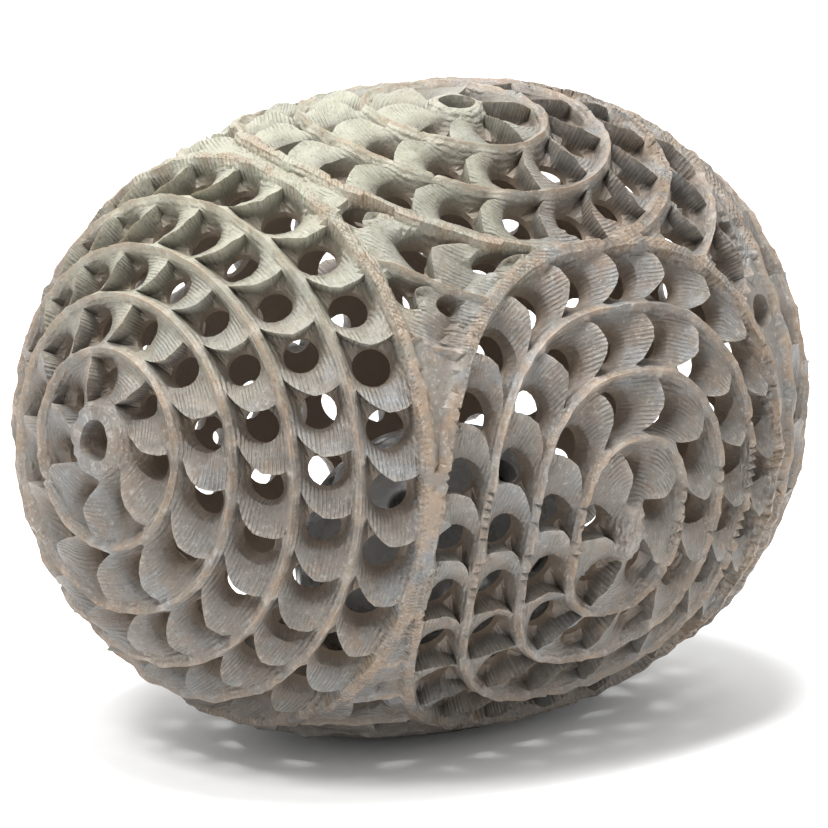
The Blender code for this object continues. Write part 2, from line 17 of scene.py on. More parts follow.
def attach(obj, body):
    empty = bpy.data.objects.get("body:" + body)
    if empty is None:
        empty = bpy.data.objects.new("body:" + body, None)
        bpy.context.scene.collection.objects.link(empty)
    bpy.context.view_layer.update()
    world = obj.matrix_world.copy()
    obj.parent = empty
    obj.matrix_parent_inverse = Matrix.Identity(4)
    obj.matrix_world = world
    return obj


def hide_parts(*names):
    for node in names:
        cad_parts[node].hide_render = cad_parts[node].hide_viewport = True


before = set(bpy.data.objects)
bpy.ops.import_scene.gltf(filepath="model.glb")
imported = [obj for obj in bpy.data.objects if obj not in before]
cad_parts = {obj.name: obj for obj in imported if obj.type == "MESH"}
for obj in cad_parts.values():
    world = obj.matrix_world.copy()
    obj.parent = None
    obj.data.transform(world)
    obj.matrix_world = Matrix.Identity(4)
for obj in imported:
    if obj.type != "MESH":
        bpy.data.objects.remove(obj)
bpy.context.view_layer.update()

# The shell, as in the CAD model.
SHELL_LENGTH = 0.1272      # tip to tip
SHELL_WIDTH = 0.0970       # across its waist
SHELL_WALL = 0.0043        # thickness of the stone
SHELL_TAPER = 0.039        # how much wider the +X half is than the -X half
SHELL_FULLNESS = 0.18      # how much blunter both ends are than an ellipsoid's
BASE_CUT = 0.0015          # cut off the underside, so that the egg lies still
BASE_DROP = SHELL_WIDTH / 2 - BASE_CUT   # from the egg's axis down to its flat base

# The carving, as in the CAD model.
SCALE_PITCH = 0.0094       # from one scale's tip to the next along a row
PLAIN_PITCH = 0.0135       # the same on the sides that are carved more plainly
RIB_WIDTH = 0.0017         # rib between two rows
BORDER_WIDTH = 0.0023      # rib around a whole whorl
HOLE_MARGIN = 0.00015      # between a rib's foot and a hole
TIP_PLACE = -0.0022        # a scale's tip, from the middle of its place
TIP_OUTER = 0.0014         # the tip's corners, from the middle of the row
TIP_INNER = -0.0010
OUTER_REACH = 0.0014       # how far the tip runs ahead of the scale's corners at the two ribs
INNER_REACH = 0.0032
HOLE_PLACE = 0.0002        # middle of the hole, from the middle of its place
RIM_ANGLE = 42             # degrees, to the corners of the round rim
RIM_BULGE = 1.15           # reach of those corners over the round rim's own
DRILL_RADIUS = 0.0030      # the hole through the stone
EYE_DRILL = 0.85           # drilled hole of an eye, as a share of its rim
LEAST_LENGTH = 0.0038      # a scale shorter or narrower than this stays solid
LEAST_WIDTH = 0.0048
LEAST_BRIDGE = 0.0011      # stone left between two holes
LONGEST_SIDE = 0.0105      # of an opening, so that badly slanted scales stay solid
FULL_SHARE = 0.36          # half a full-size hole, as a share of the pitch
TONGUE_SHARE = 0.45        # how far behind a scale's middle no plain hole may lie
GAP_RADII = (0.0021, 0.0031)   # least and most of the plain holes where no row runs
GAP_SEARCH = 0.0018        # between the places that are tried for them
GAP_STEP = 0.0005          # length of skin that a direction's change is measured on
BORDER_SHARE = 0.15        # half a border, as a share of a row's width
SIDE_SAMPLES = 5           # points on each side of an opening that are tried for room
TRY_REACH = 3 * SCALE_PITCH    # how far away the openings lie that are tried for room
TONGUE_PLACES = (-0.3, 0, 0.3)   # shares of a scale's width where its tongue is stone
HOLE_FITS = ((1.0, 0.0), (0.85, -0.07), (0.85, 0.07), (0.7, -0.14), (0.7, 0.14),
             (0.55, -0.2), (0.55, 0.2))   # size of a hole and its slide across the row

# Finer relief.
TIP_RISE = 0.00040         # a scale's tip over the skin
RIM_DROP = 0.00170         # the round rim of a hole under the skin
RIB_RISE = 0.00030         # crest of a rib over the skin
RIB_HALF = 0.00014         # half its flat crest
BORDER_RISE = 0.00050      # crest of the rib around a whorl
BORDER_HALF = 0.00062      # half its flat crest
SIDE_SLOPE = 2.10          # fall of a rib's sides
PLAIN_DROP = 0.0005        # skin where nothing is carved, under the smooth egg
TIP_NARROWING = 0.0008     # how much finer than in the CAD model a tip is on its inner side
RECESS_REACH = 0.0010      # how much farther back its recess runs there
TIP_ROUNDING = 0.0007      # how much less its outer corner is cut back
TIP_BULGE = 0.0033         # how far the inner side of a tip bulges
TONGUE_DROP = 0.0010       # how much lower a scale's sides are than its middle
MELT = 0.00022             # how softly a rib runs into a scale
RECESS_DEPTH = 0.0025      # under the skin, where the drilled hole starts to flare
THROAT_DEPTH = 0.0033
SHAKE = 0.0003             # unevenness of the hand-cut edges
UNEVENNESS = 0.00012       # of the hand-cut faces
WAVE_SIZE = 0.007          # its longest waves
HOLE_SWELL = 1.05          # clear border kept around a hole's outline
RIM_STEPS = 8              # sides of the round rim
ROUND_SIDES = 20           # sides of a plain round hole
FINE_SPACING = 0.00095     # between the points of the outer skin
RIB_SPACING = 0.00100      # between the points along a rib
COARSE_SPACING = 0.0024    # between the points of the inner skin
RIB_CLEARANCE = 0.62       # least distance between such points, as a share of their spacing
FINE_CLEARANCE = 0.72
COARSE_CLEARANCE = 0.6
RIB_SIDES = (-0.00062, 0, 0.00062)   # lines of points along a rib, from its crest
BORDER_SIDES = (-0.0013, -0.0006, 0, 0.0006, 0.0013)
GRAIN_RADIUS = 0.05        # of the ball on which the flow of the file strokes is measured

# The fluted rim of the base.
FLUTES = 34
FLUTE_DEPTH = 0.0013
FLUTE_LENGTH = 0.0085      # up the side of the egg
FLUTE_RISE = 0.0031        # height where the flutes end
FLUTE_LEVELS = 9
FLUTE_SAMPLES = 6
BASE_MARGIN = 0.0012       # plain stone between the flutes and the carving

# The loose egg inside.
INNER_LENGTH = 0.0460
INNER_WIDTH = 0.0410
INNER_WALL = 0.0030
INNER_TAPER = 0.03         # how much wider its +X half is
INNER_FULLNESS = 0.05      # how much blunter its ends are
INNER_HOLE_RADIUS = 0.0023
INNER_HOLE_ROWS = ((46, 5), (90, 9), (134, 5))   # degrees from -X, holes
INNER_FLAT = 0.0040        # radius of the small flat that it rests on
INNER_PLACE = 0.0050       # along X from the shell's middle
RESTING_GAP = 0.0003
FLOOR_RADIUS = 0.0075      # of the flat in the bottom of the hollow


class Egg:
    """The outline of an egg along X, as directions from its middle."""

    def __init__(self, length, width, taper, fullness, middle):
        self.half_length = length / 2
        self.half_width = width / 2
        self.taper = taper
        self.fullness = fullness
        self.middle = Vector(middle)

    def swell(self, x):
        return 1 + self.taper * x + self.fullness * x * x

    def skin(self, way):
        """The point of the skin in direction way."""
        swell = self.swell(way.x)
        return Vector((way.x * self.half_length, way.y * self.half_width * swell,
                       way.z * self.half_width * swell)) + self.middle

    def skins(self, ways, lifts=0.0):
        """The same for an array of directions, each point lifted off the skin."""
        swell = self.swell(ways[:, 0])
        points = np.stack((ways[:, 0] * self.half_length, ways[:, 1] * self.half_width * swell,
                           ways[:, 2] * self.half_width * swell), axis=1)
        return points + np.array(self.middle) + self.normals(ways, points) * np.reshape(lifts, (-1, 1))

    def normals(self, ways, points):
        swell = self.swell(ways[:, 0])
        slope = self.taper + 2 * self.fullness * ways[:, 0]
        size = (self.half_width * swell) ** 2
        across = points[:, 1] ** 2 + points[:, 2] ** 2
        along = points[:, 0] / self.half_length ** 2
        along -= across * slope / (size * swell * self.half_length)
        normals = np.stack((along, points[:, 1] / size, points[:, 2] / size), axis=1)
        return normals / np.linalg.norm(normals, axis=1, keepdims=True)

    def way(self, point):
        """The direction of a point on or near the skin."""
        offset = Vector(point) - self.middle
        x = max(-1.0, min(1.0, offset.x / self.half_length))
        swell = self.swell(x)
        return Vector((x, offset.y / (self.half_width * swell),
                       offset.z / (self.half_width * swell))).normalized()


class Whorl:
    """Nested oval loops around one direction; loop 0 is the innermost.

    The ovals' half sizes are angles: across is the one nearer to the egg's length.
    """

    def __init__(self, middle, first, step, rows, outer_rows=0, squareness=2.0,
                 drift=(0.0, 0.0), counts=None, turns=None, pitch=SCALE_PITCH, eye=0.0):
        self.eye = eye             # rim of the round hole in the middle, as a share of its room
        self.middle = Vector(middle).normalized()
        reference = Vector((1, 0, 0)) if abs(self.middle.x) < 0.8 else Vector((0, 0, 1))
        self.across = (reference - self.middle * reference.dot(self.middle)).normalized()
        self.up = self.middle.cross(self.across)
        self.first = first
        self.step = step
        self.rows = rows
        self.outer_rows = outer_rows
        self.squareness = squareness
        self.drift = drift
        self.counts = counts or {}
        self.turns = turns or {}
        self.pitch = pitch

    def half_sizes(self, loop):
        return (math.radians(self.first[0] + self.step[0] * loop),
                math.radians(self.first[1] + self.step[1] * loop))

    def shift(self, loop):
        share = max(0.0, 1 - loop / 3)
        return math.radians(self.drift[0] * share), math.radians(self.drift[1] * share)

    def way(self, loop, turn):
        """The direction at an angle turn around a loop."""
        half_across, half_up = self.half_sizes(loop)
        shift_across, shift_up = self.shift(loop)
        power = 2 / self.squareness
        cos, sin = math.cos(turn), math.sin(turn)
        across = half_across * math.copysign(abs(cos) ** power, cos) + shift_across
        up = half_up * math.copysign(abs(sin) ** power, sin) + shift_up
        reach = math.hypot(across, up)
        if reach < 1e-9:
            return self.middle.copy()
        sideways = (self.across * across + self.up * up) / reach
        return self.middle * math.cos(reach) + sideways * math.sin(reach)

    def holds(self, way, loop):
        """Whether a direction lies inside a loop."""
        cos = max(-1.0, min(1.0, way.dot(self.middle)))
        reach = math.acos(cos)
        sideways = way - self.middle * cos
        if sideways.length < 1e-9:
            return True
        sideways.normalize()
        half_across, half_up = self.half_sizes(loop)
        shift_across, shift_up = self.shift(loop)
        across = (reach * sideways.dot(self.across) - shift_across) / half_across
        up = (reach * sideways.dot(self.up) - shift_up) / half_up
        return abs(across) ** self.squareness + abs(up) ** self.squareness < 1

    def ways(self, loops, turns):
        """The same as way, for arrays."""
        share = np.clip(1 - loops / 3, 0, None)
        power = 2 / self.squareness
        cos, sin = np.cos(turns), np.sin(turns)
        across = np.radians(self.first[0] + self.step[0] * loops) * np.sign(cos) * abs(cos) ** power
        across += np.radians(self.drift[0]) * share
        up = np.radians(self.first[1] + self.step[1] * loops) * np.sign(sin) * abs(sin) ** power
        up += np.radians(self.drift[1]) * share
        reach = np.maximum(np.hypot(across, up), 1e-9)[:, None]
        sideways = across[:, None] * np.array(self.across) + up[:, None] * np.array(self.up)
        return np.array(self.middle) * np.cos(reach) + sideways / reach * np.sin(reach)

    def places(self, ways):
        """The loop number, with its fraction, and the turn of each direction."""
        cos = np.clip(ways @ np.array(self.middle), -1, 1)
        sideways = ways - cos[:, None] * np.array(self.middle)
        scale = np.arccos(cos) / np.maximum(np.linalg.norm(sideways, axis=1), 1e-12)
        across = sideways @ np.array(self.across) * scale
        up = sideways @ np.array(self.up) * scale
        low, high = np.full(len(ways), -0.05), np.full(len(ways), FARTHEST_LOOP)
        for _ in range(BISECTIONS):
            loops = (low + high) / 2
            share = np.clip(1 - loops / 3, 0, None)
            far = (across - np.radians(self.drift[0]) * share)
            far /= np.radians(self.first[0] + self.step[0] * loops)
            high_up = (up - np.radians(self.drift[1]) * share)
            high_up /= np.radians(self.first[1] + self.step[1] * loops)
            outside = abs(far) ** self.squareness + abs(high_up) ** self.squareness > 1
            low = np.where(outside, loops, low)
            high = np.where(outside, high, loops)
        power = self.squareness / 2
        turns = np.arctan2(np.sign(high_up) * abs(high_up) ** power, np.sign(far) * abs(far) ** power)
        return loops, turns


FARTHEST_LOOP = 15.0
BISECTIONS = 24            # of a loop number
REACH_STEPS = 30           # of the search for the skin in a level plane
LOOP_STEP = 0.02           # of a loop, over which a row's width is measured


def plane_reach(egg, turn):
    """How far from the upright axis the egg's skin is on the floor, at a turn."""
    near, far = 0.0, egg.half_length
    for _ in range(REACH_STEPS):
        reach = (near + far) / 2
        x = reach * math.cos(turn)
        width = egg.half_width * egg.swell(x / egg.half_length)
        width *= math.sqrt(max(0.0, 1 - (x / egg.half_length) ** 2))
        if math.hypot(reach * math.sin(turn), egg.middle.z) < width:
            near = reach
        else:
            far = reach
    return near


def base_half_sizes(egg):
    """Degrees from the lowest point to where the carving around the base starts."""
    margin = FLUTE_LENGTH + BASE_MARGIN
    along = (plane_reach(egg, 0) + margin) / egg.half_length
    across = (plane_reach(egg, math.pi / 2) + margin) / egg.half_width
    return math.degrees(math.asin(along)), math.degrees(math.asin(across))


SHELL = Egg(SHELL_LENGTH, SHELL_WIDTH, SHELL_TAPER, SHELL_FULLNESS, (0, 0, BASE_DROP))

# The whorls, the ones that cut into others first. Degrees, and loops from the innermost out.
LEFT_END = Whorl((-1, 0, 0), (5, 5), (9.7, 9.7), rows=5, drift=(4.0, -1.5),
                 counts={0: 7, 1: 12, 2: 19, 3: 24, 4: 26},
                 turns={0: 30, 1: 1.2, 2: 12.6, 3: 11, 4: 11.5}, eye=0.75)
FRONT = Whorl((-0.057, -0.973, -0.230), (1.6, 4.9), (7.55, 11.2), rows=4, squareness=2.5,
              counts={0: 5, 1: 11, 2: 18, 3: 23}, turns={0: 54, 1: 13.6, 2: 3.3, 3: 9.4})
RIGHT_END = Whorl((1, 0, 0), (6, 6), (10.2, 10.2), rows=5, counts={4: 24}, pitch=PLAIN_PITCH,
                  eye=1.0)
TOP = Whorl((-0.06, -0.25, 0.967), (3.5, 4), (8.8, 11.7), rows=3, outer_rows=2, eye=0.9)
BACK = Whorl((0, 1, 0.02), (4, 5), (7.6, 11.9), rows=4, squareness=2.3, pitch=PLAIN_PITCH)
UNDERSIDE = Whorl((0, 0, -1), base_half_sizes(SHELL), (8.5, 10.5), rows=0, outer_rows=5,
                  pitch=PLAIN_PITCH)
WHORLS = (LEFT_END, FRONT, RIGHT_END, TOP, BACK, UNDERSIDE)
TABLE_STEPS = 96           # samples around a row
CROSS_PLACES = (0.2, 0.5, 0.8)   # shares of a row's width where its ends are worked out
TURN_SAMPLES = 180         # places around a whorl that are tried against the other whorls


class Row:
    """One free stretch of the row between two neighbouring loops of a whorl."""

    def __init__(self, egg, whorl, loop, ends, blocked, is_whole):
        self.blocked = blocked
        self.is_whole = is_whole
        self.egg = egg
        self.whorl = whorl
        self.loop = loop
        self.ends = ends           # (low turn, high turn) at each of CROSS_PLACES
        self.cells = []
        low, high = ends[1]
        points = [egg.skin(whorl.way(loop + 0.5, high + (low - high) * k / TABLE_STEPS))
                  for k in range(TABLE_STEPS + 1)]
        self.lengths = [0.0]
        for a, b in zip(points, points[1:]):
            self.lengths.append(self.lengths[-1] + (b - a).length)
        self.length = self.lengths[-1]

    def share(self, along):
        """The share of the turn at a share of the row's length."""
        target = along * self.length
        for k in range(TABLE_STEPS):
            if self.lengths[k + 1] >= target or k == TABLE_STEPS - 1:
                step = self.lengths[k + 1] - self.lengths[k]
                return (k + (target - self.lengths[k]) / max(step, 1e-12)) / TABLE_STEPS

    def way(self, along, across):
        """The direction at shares along the row, with the flow, and across it, outwards."""
        k = 0 if across < CROSS_PLACES[1] else 1
        blend = (across - CROSS_PLACES[k]) / (CROSS_PLACES[k + 1] - CROSS_PLACES[k])
        low = self.ends[k][0] * (1 - blend) + self.ends[k + 1][0] * blend
        high = self.ends[k][1] * (1 - blend) + self.ends[k + 1][1] * blend
        return self.whorl.way(self.loop + across, high + (low - high) * self.share(along))

    def distances(self, across, turns):
        """How far along the row each place is, in metres, and whether it is in the row."""
        k = np.where(across < CROSS_PLACES[1], 0, 1)
        places, ends = np.array(CROSS_PLACES), np.array(self.ends)
        blend = (across - places[k]) / (places[k + 1] - places[k])
        low = ends[k, 0] * (1 - blend) + ends[k + 1, 0] * blend
        high = ends[k, 1] * (1 - blend) + ends[k + 1, 1] * blend
        turns = low + (turns - low) % math.tau
        share = (high - turns) / (high - low)
        distances = np.interp(share * TABLE_STEPS, np.arange(TABLE_STEPS + 1), self.lengths)
        return distances, turns <= high


class Scale:
    """One scale of a row and the hole ahead of it, in metres from the middle of its place."""

    def __init__(self, row, start, end, chance):
        self.row = row
        self.start = start
        self.end = end
        egg = row.egg
        middle = (start + end) / 2
        reach = []
        for across in CROSS_PLACES:
            reach.append((egg.skin(row.way(end, across)) - egg.skin(row.way(start, across))).length)
        self.length = min(reach)
        self.full_length = reach[1]
        self.width = (egg.skin(row.way(middle, 1)) - egg.skin(row.way(middle, 0))).length
        self.size = 1.0
        self.slide = 0.0
        self.is_open = False
        self.shake = [chance.uniform(-1, 1) for _ in range(4)]

    def way(self, x, y):
        """x runs with the flow and y outwards."""
        middle = (self.start + self.end) / 2
        along = middle + (self.end - self.start) * x / self.full_length
        return self.row.way(along, 0.5 + self.slide + y / self.width)

    def is_blocked(self, way):
        return self.row.blocked(way, BORDER_SHARE)

    def measure(self, shake):
        """The sizes of the tip, hole and rim, uneven by a share of the hand's shake."""
        self.half = (self.width / 2 - RIB_WIDTH / 2 - HOLE_MARGIN) * self.size
        shortness = min(1.0, self.length / SCALE_PITCH)
        self.fit = fit = min(shortness, self.half / (SCALE_PITCH * FULL_SHARE))
        a, b, c, d = (shake * value for value in self.shake)
        self.tip = TIP_PLACE * fit + a
        self.outer = TIP_OUTER * fit + b
        self.inner = (TIP_INNER + TIP_NARROWING) * fit + c
        self.place = HOLE_PLACE * fit
        self.rim = self.half * shortness + d
        self.outer_reach = (OUTER_REACH - TIP_ROUNDING) * fit + d / 2
        self.inner_reach = (INNER_REACH + RECESS_REACH) * fit + b

    def corners(self):
        """The opening's coarse outline, which is tried against the other openings."""
        self.measure(0.0)
        turn = math.radians(RIM_ANGLE)
        x = self.place + RIM_BULGE * self.rim * math.cos(turn)
        y = RIM_BULGE * self.half * math.sin(turn)
        return [(self.tip, self.outer), (self.tip - OUTER_REACH * self.fit, self.half), (x, y),
                (x, -y), (self.tip - INNER_REACH * self.fit, -self.half),
                (self.tip, TIP_INNER * self.fit)]

    def outline(self):
        """Points around the opening, outwards first from the tip, and their drill angles."""
        half, tip, place = self.half, self.tip, self.place
        points = [(tip, (self.inner + self.outer) / 2), (tip, self.outer)]
        corner = (tip - self.outer_reach, half)
        points += [((tip + corner[0]) / 2 + 0.0001, (self.outer + half) / 2 + 0.0001), corner]
        points += [((corner[0] + place) / 2, half)]
        for k in range(RIM_STEPS + 1):
            turn = math.pi / 2 - math.pi * k / RIM_STEPS
            points.append((place + self.rim * math.cos(turn), half * math.sin(turn)))
        corner = (tip - self.inner_reach, -half)
        points += [((corner[0] + 2 * place) / 3, -half), ((2 * corner[0] + place) / 3, -half), corner]
        for share in (0.25, 0.5, 0.75):
            bulge = TIP_BULGE * self.fit / 2.3 * share * (1 - share)
            points.append((corner[0] + (tip - corner[0]) * share + bulge,
                           corner[1] + (self.inner - corner[1]) * share - bulge))
        points.append((tip, self.inner))
        angles = [180, 162, 144, 126, 108]
        angles += [90 - 180 * k / RIM_STEPS for k in range(RIM_STEPS + 1)]
        angles += [-90 - 11.25 * k for k in range(1, 8)]
        return points, angles

    def rings(self):
        """The outline, and for the rings of the wall under it x, y and depth."""
        points, angles = self.outline()
        recess, throat, drilled = [], [], []
        radius = min(DRILL_RADIUS * self.fit * 1.05, self.half * 0.94)
        for (x, y), angle in zip(points, angles):
            circle = (self.place + radius * math.cos(math.radians(angle)),
                      radius * math.sin(math.radians(angle)))
            share, depth = 0.12, 0.95
            if abs(angle) > 120:
                share, depth = 0.03, 1.0
            elif -80 < angle < 80:
                share, depth = 0.4, 0.8
            elif angle < 0:
                share, depth = 0.3, 0.75
            back = 0.0002 * self.fit if abs(angle) > 120 else 0.0
            recess.append((x + (circle[0] - x) * share - back, y + (circle[1] - y) * share,
                           RECESS_DEPTH * depth))
            throat.append((*circle, THROAT_DEPTH))
            drilled.append((*circle, SHELL_WALL))
        return points, recess, throat, drilled

    def edge_heights(self):
        """Heights of the outline's points: the tip's edge is proud, the round rim is sunken."""
        points, angles = self.outline()
        heights = []
        for (_, y), angle in zip(points, angles):
            bend = min(1.0, abs(y) / self.half) ** 2
            height = scale_profile(1.0 if abs(angle) > 120 else 0.0, bend)
            away = (0.5 - abs(self.slide + y / self.width)) * self.width
            heights.append(float(soft_max(height, rib_profile(away, RIB_RISE, RIB_HALF))))
        return np.array(heights)


def scale_profile(share, bend):
    """Height of a scale at a share of its way from the round rim behind it to its tip."""
    low = -RIM_DROP * (1 - 0.2 * bend)
    high = TIP_RISE - TONGUE_DROP * bend
    return low + (high - low) * share ** 0.8


def rib_profile(away, rise, half):
    return rise - SIDE_SLOPE * np.maximum(away - half, 0)


def soft_max(a, b):
    return (a + b + np.sqrt((a - b) ** 2 + MELT ** 2)) / 2


def round_ring(radius, count, depth=0.0):
    """Corners of a round hole: x, y and depth."""
    turns = [math.pi - (k + 0.5) * math.tau / count for k in range(count)]
    return [(radius * math.cos(turn), radius * math.sin(turn), depth) for turn in turns]


def round_rings(radius, narrow):
    return ([(x, y) for x, y, _ in round_ring(radius, ROUND_SIDES)],
            round_ring(0.6 * radius + 0.4 * narrow, ROUND_SIDES, RECESS_DEPTH * 0.6),
            round_ring(narrow, ROUND_SIDES, THROAT_DEPTH),
            round_ring(narrow, ROUND_SIDES, SHELL_WALL))


class Eye:
    """The round hole in the middle of a whorl."""

    def __init__(self, egg, whorl):
        self.whorl = whorl
        self.size = 1.0
        self.slide = 0.0
        reach = math.radians(whorl.first[1])
        self.scale = reach / (egg.skin(whorl.way(0, math.pi / 2)) - egg.skin(whorl.way(0, 0))).length
        self.scale *= math.sqrt(2)
        self.length = self.width = 2 * reach / self.scale + SCALE_PITCH / 2
        self.radius = (reach / self.scale - RIB_WIDTH / 2) * whorl.eye

    def way(self, x, y):
        shift_across, shift_up = self.whorl.shift(0)
        across = x * self.scale + shift_across
        up = y * self.scale + shift_up
        sideways = self.whorl.across * across + self.whorl.up * up
        return (self.whorl.middle + sideways).normalized()

    def is_blocked(self, way):
        return False

    def measure(self, shake):
        """A round hole is even."""

    def corners(self):
        return [(x, y) for x, y, _ in round_ring(self.radius, 6)]

    def rings(self):
        return round_rings(self.radius, self.radius * EYE_DRILL)


class Gap:
    """A plain round hole where no row runs."""

    def __init__(self, egg, middle, radius):
        self.middle = middle
        self.radius = radius
        self.side = middle.orthogonal().normalized()
        self.rise = middle.cross(self.side)
        step = GAP_STEP / egg.half_width
        self.scales = []
        for way in (self.side, self.rise):
            moved = egg.skin((middle + way * step).normalized())
            self.scales.append(step / (moved - egg.skin(middle)).length)

    def way(self, x, y):
        return (self.middle + self.side * x * self.scales[0] +
                self.rise * y * self.scales[1]).normalized()

    def rings(self):
        return round_rings(self.radius, self.radius * EYE_DRILL)


def free_turns(whorl, loop, middle, limits, blocked):
    """How far a loop runs from an angle each way before it meets another whorl."""
    if blocked(whorl.way(loop, middle)):
        return limits
    ends = []
    for limit in limits:
        steps = max(1, round(abs(limit - middle) / math.radians(2)))
        inside, outside = middle, None
        for k in range(1, steps + 1):
            turn = middle + (limit - middle) * k / steps
            if blocked(whorl.way(loop, turn)):
                outside = turn
                break
            inside = turn
        for _ in range(12 if outside is not None else 0):
            half = (inside + outside) / 2
            if blocked(whorl.way(loop, half)):
                outside = half
            else:
                inside = half
        ends.append(inside)
    return tuple(ends)


def whorl_rows(egg, order):
    """The free stretches of every row of one whorl."""
    whorl = WHORLS[order]
    rows = []
    for loop in range(whorl.rows + whorl.outer_rows):
        walls = [(other, other.rows) for other in WHORLS[:order]]
        if loop >= whorl.rows:
            walls = [(other, other.rows) for other in WHORLS if other is not whorl and other.rows]
            walls += [(other, other.rows + other.outer_rows) for other in WHORLS[:order]]

        def blocked(way, margin=0.0):
            return any(other.holds(way, edge + margin) for other, edge in walls)

        free = []
        for k in range(TURN_SAMPLES):
            turn = math.tau * k / TURN_SAMPLES
            free.append(not any(blocked(whorl.way(loop + across, turn)) for across in CROSS_PLACES))
        if all(free):
            turn = math.radians(whorl.turns.get(loop, 180 / (loop + 1)))
            ends = [(turn, turn + math.tau)] * len(CROSS_PLACES)
            rows.append(Row(egg, whorl, loop, ends, blocked, True))
            continue
        starts = [k for k in range(TURN_SAMPLES) if free[k] and not free[k - 1]]
        for start in starts:
            count = 0
            while free[(start + count) % TURN_SAMPLES]:
                count += 1
            before, after = 0, 0
            while not free[start - 1 - before]:
                before += 1
            while not free[(start + count + after) % TURN_SAMPLES]:
                after += 1
            slant = SCALE_PITCH / 2 / (sum(whorl.half_sizes(loop)) / 2 * egg.half_width)
            slant *= TURN_SAMPLES / math.tau
            places = (start + (count - 1) / 2, start - min(before / 2, slant),
                      start + count - 1 + min(after / 2, slant))
            middle, low, high = (math.tau * place / TURN_SAMPLES for place in places)
            ends = [free_turns(whorl, loop + across, middle, (low, high), blocked)
                    for across in CROSS_PLACES]
            rows.append(Row(egg, whorl, loop, ends, blocked, False))
    return rows


def carve_scales(egg):
    """Every pierced scale of the shell, each hole clear of the borders and of the other holes."""
    chance = random.Random(7)
    scales, outlines, rows = [], [], []
    for order, whorl in enumerate(WHORLS):
        found = []
        if whorl.eye:
            found.append(Eye(egg, whorl))
        for row in whorl_rows(egg, order):
            rows.append(row)
            count = max(1, round(row.length / whorl.pitch))
            if row.is_whole:
                count = whorl.counts.get(row.loop, count)
            row.cells = [Scale(row, k / count, (k + 1) / count, chance) for k in range(count)]
            found += row.cells
        for scale in found:
            if scale.length < LEAST_LENGTH or scale.width < LEAST_WIDTH:
                continue
            for size, slide in HOLE_FITS:
                scale.size, scale.slide = size, slide
                ways = [scale.way(x, y) for x, y in scale.corners()]
                outline = [egg.skin(way) for way in ways]
                sides = list(zip(outline, outline[1:] + outline[:1]))
                if max((a - b).length for a, b in sides) > LONGEST_SIDE:
                    continue
                outline = [a.lerp(b, k / SIDE_SAMPLES) for a, b in sides for k in range(SIDE_SAMPLES)]
                if any(scale.is_blocked(way) for way in ways):
                    continue
                near = any((a - b).length < LEAST_BRIDGE for other in outlines for b in other
                           if (other[0] - outline[0]).length < TRY_REACH for a in outline)
                if not near:
                    outlines.append(outline)
                    scales.append(scale)
                    scale.is_open = True
                    break
        for scale in found:
            scale.measure(SHAKE)
    return scales + carve_gaps(egg, scales, outlines), rows


def carve_gaps(egg, scales, outlines):
    """Plain holes in what the rows leave free, the roomiest places first."""
    solid = []
    for whorl in WHORLS:
        solid += [egg.skin(whorl.way(whorl.rows, math.tau * k / TURN_SAMPLES))
                  for k in range(TURN_SAMPLES)]
    borders = make_tree(solid)
    hollow = []
    for outline in outlines:
        middle = sum(outline, Vector()) / len(outline)
        hollow += outline + [middle] + [middle.lerp(point, 0.5) for point in outline]
    for scale in scales:
        behind = -scale.length * TONGUE_SHARE
        hollow += [egg.skin(scale.way(behind, scale.width * share)) for share in TONGUE_PLACES]
    holes = make_tree(hollow)
    rooms = []
    ways = fill_ways(GAP_SEARCH, (egg.half_length + egg.half_width) / 2)
    for way in map(Vector, ways[are_beside_base(ways)]):
        point = egg.skin(way)
        room = min(holes.find(point)[2], borders.find(point)[2] - BORDER_WIDTH / 2) - LEAST_BRIDGE
        if room > GAP_RADII[0]:
            rooms.append((min(room, GAP_RADII[1]), way, point))
    rooms.sort(key=lambda item: -item[0])
    gaps = []
    for room, way, point in rooms:
        if all((point - other).length > room + radius + LEAST_BRIDGE for other, radius, _ in gaps):
            gaps.append((point, room, Gap(egg, way, room)))
    edges = make_tree([egg.skin(scale.way(x, y)) for scale in scales for x, y in scale.rings()[0]])
    for point, room, gap in gaps:
        gap.radius = min(room, edges.find(point)[2] - LEAST_BRIDGE)
    return [gap for _, _, gap in gaps]


def make_tree(points):
    tree = KDTree(len(points))
    for number, point in enumerate(points):
        tree.insert(point, number)
    tree.balance()
    return tree


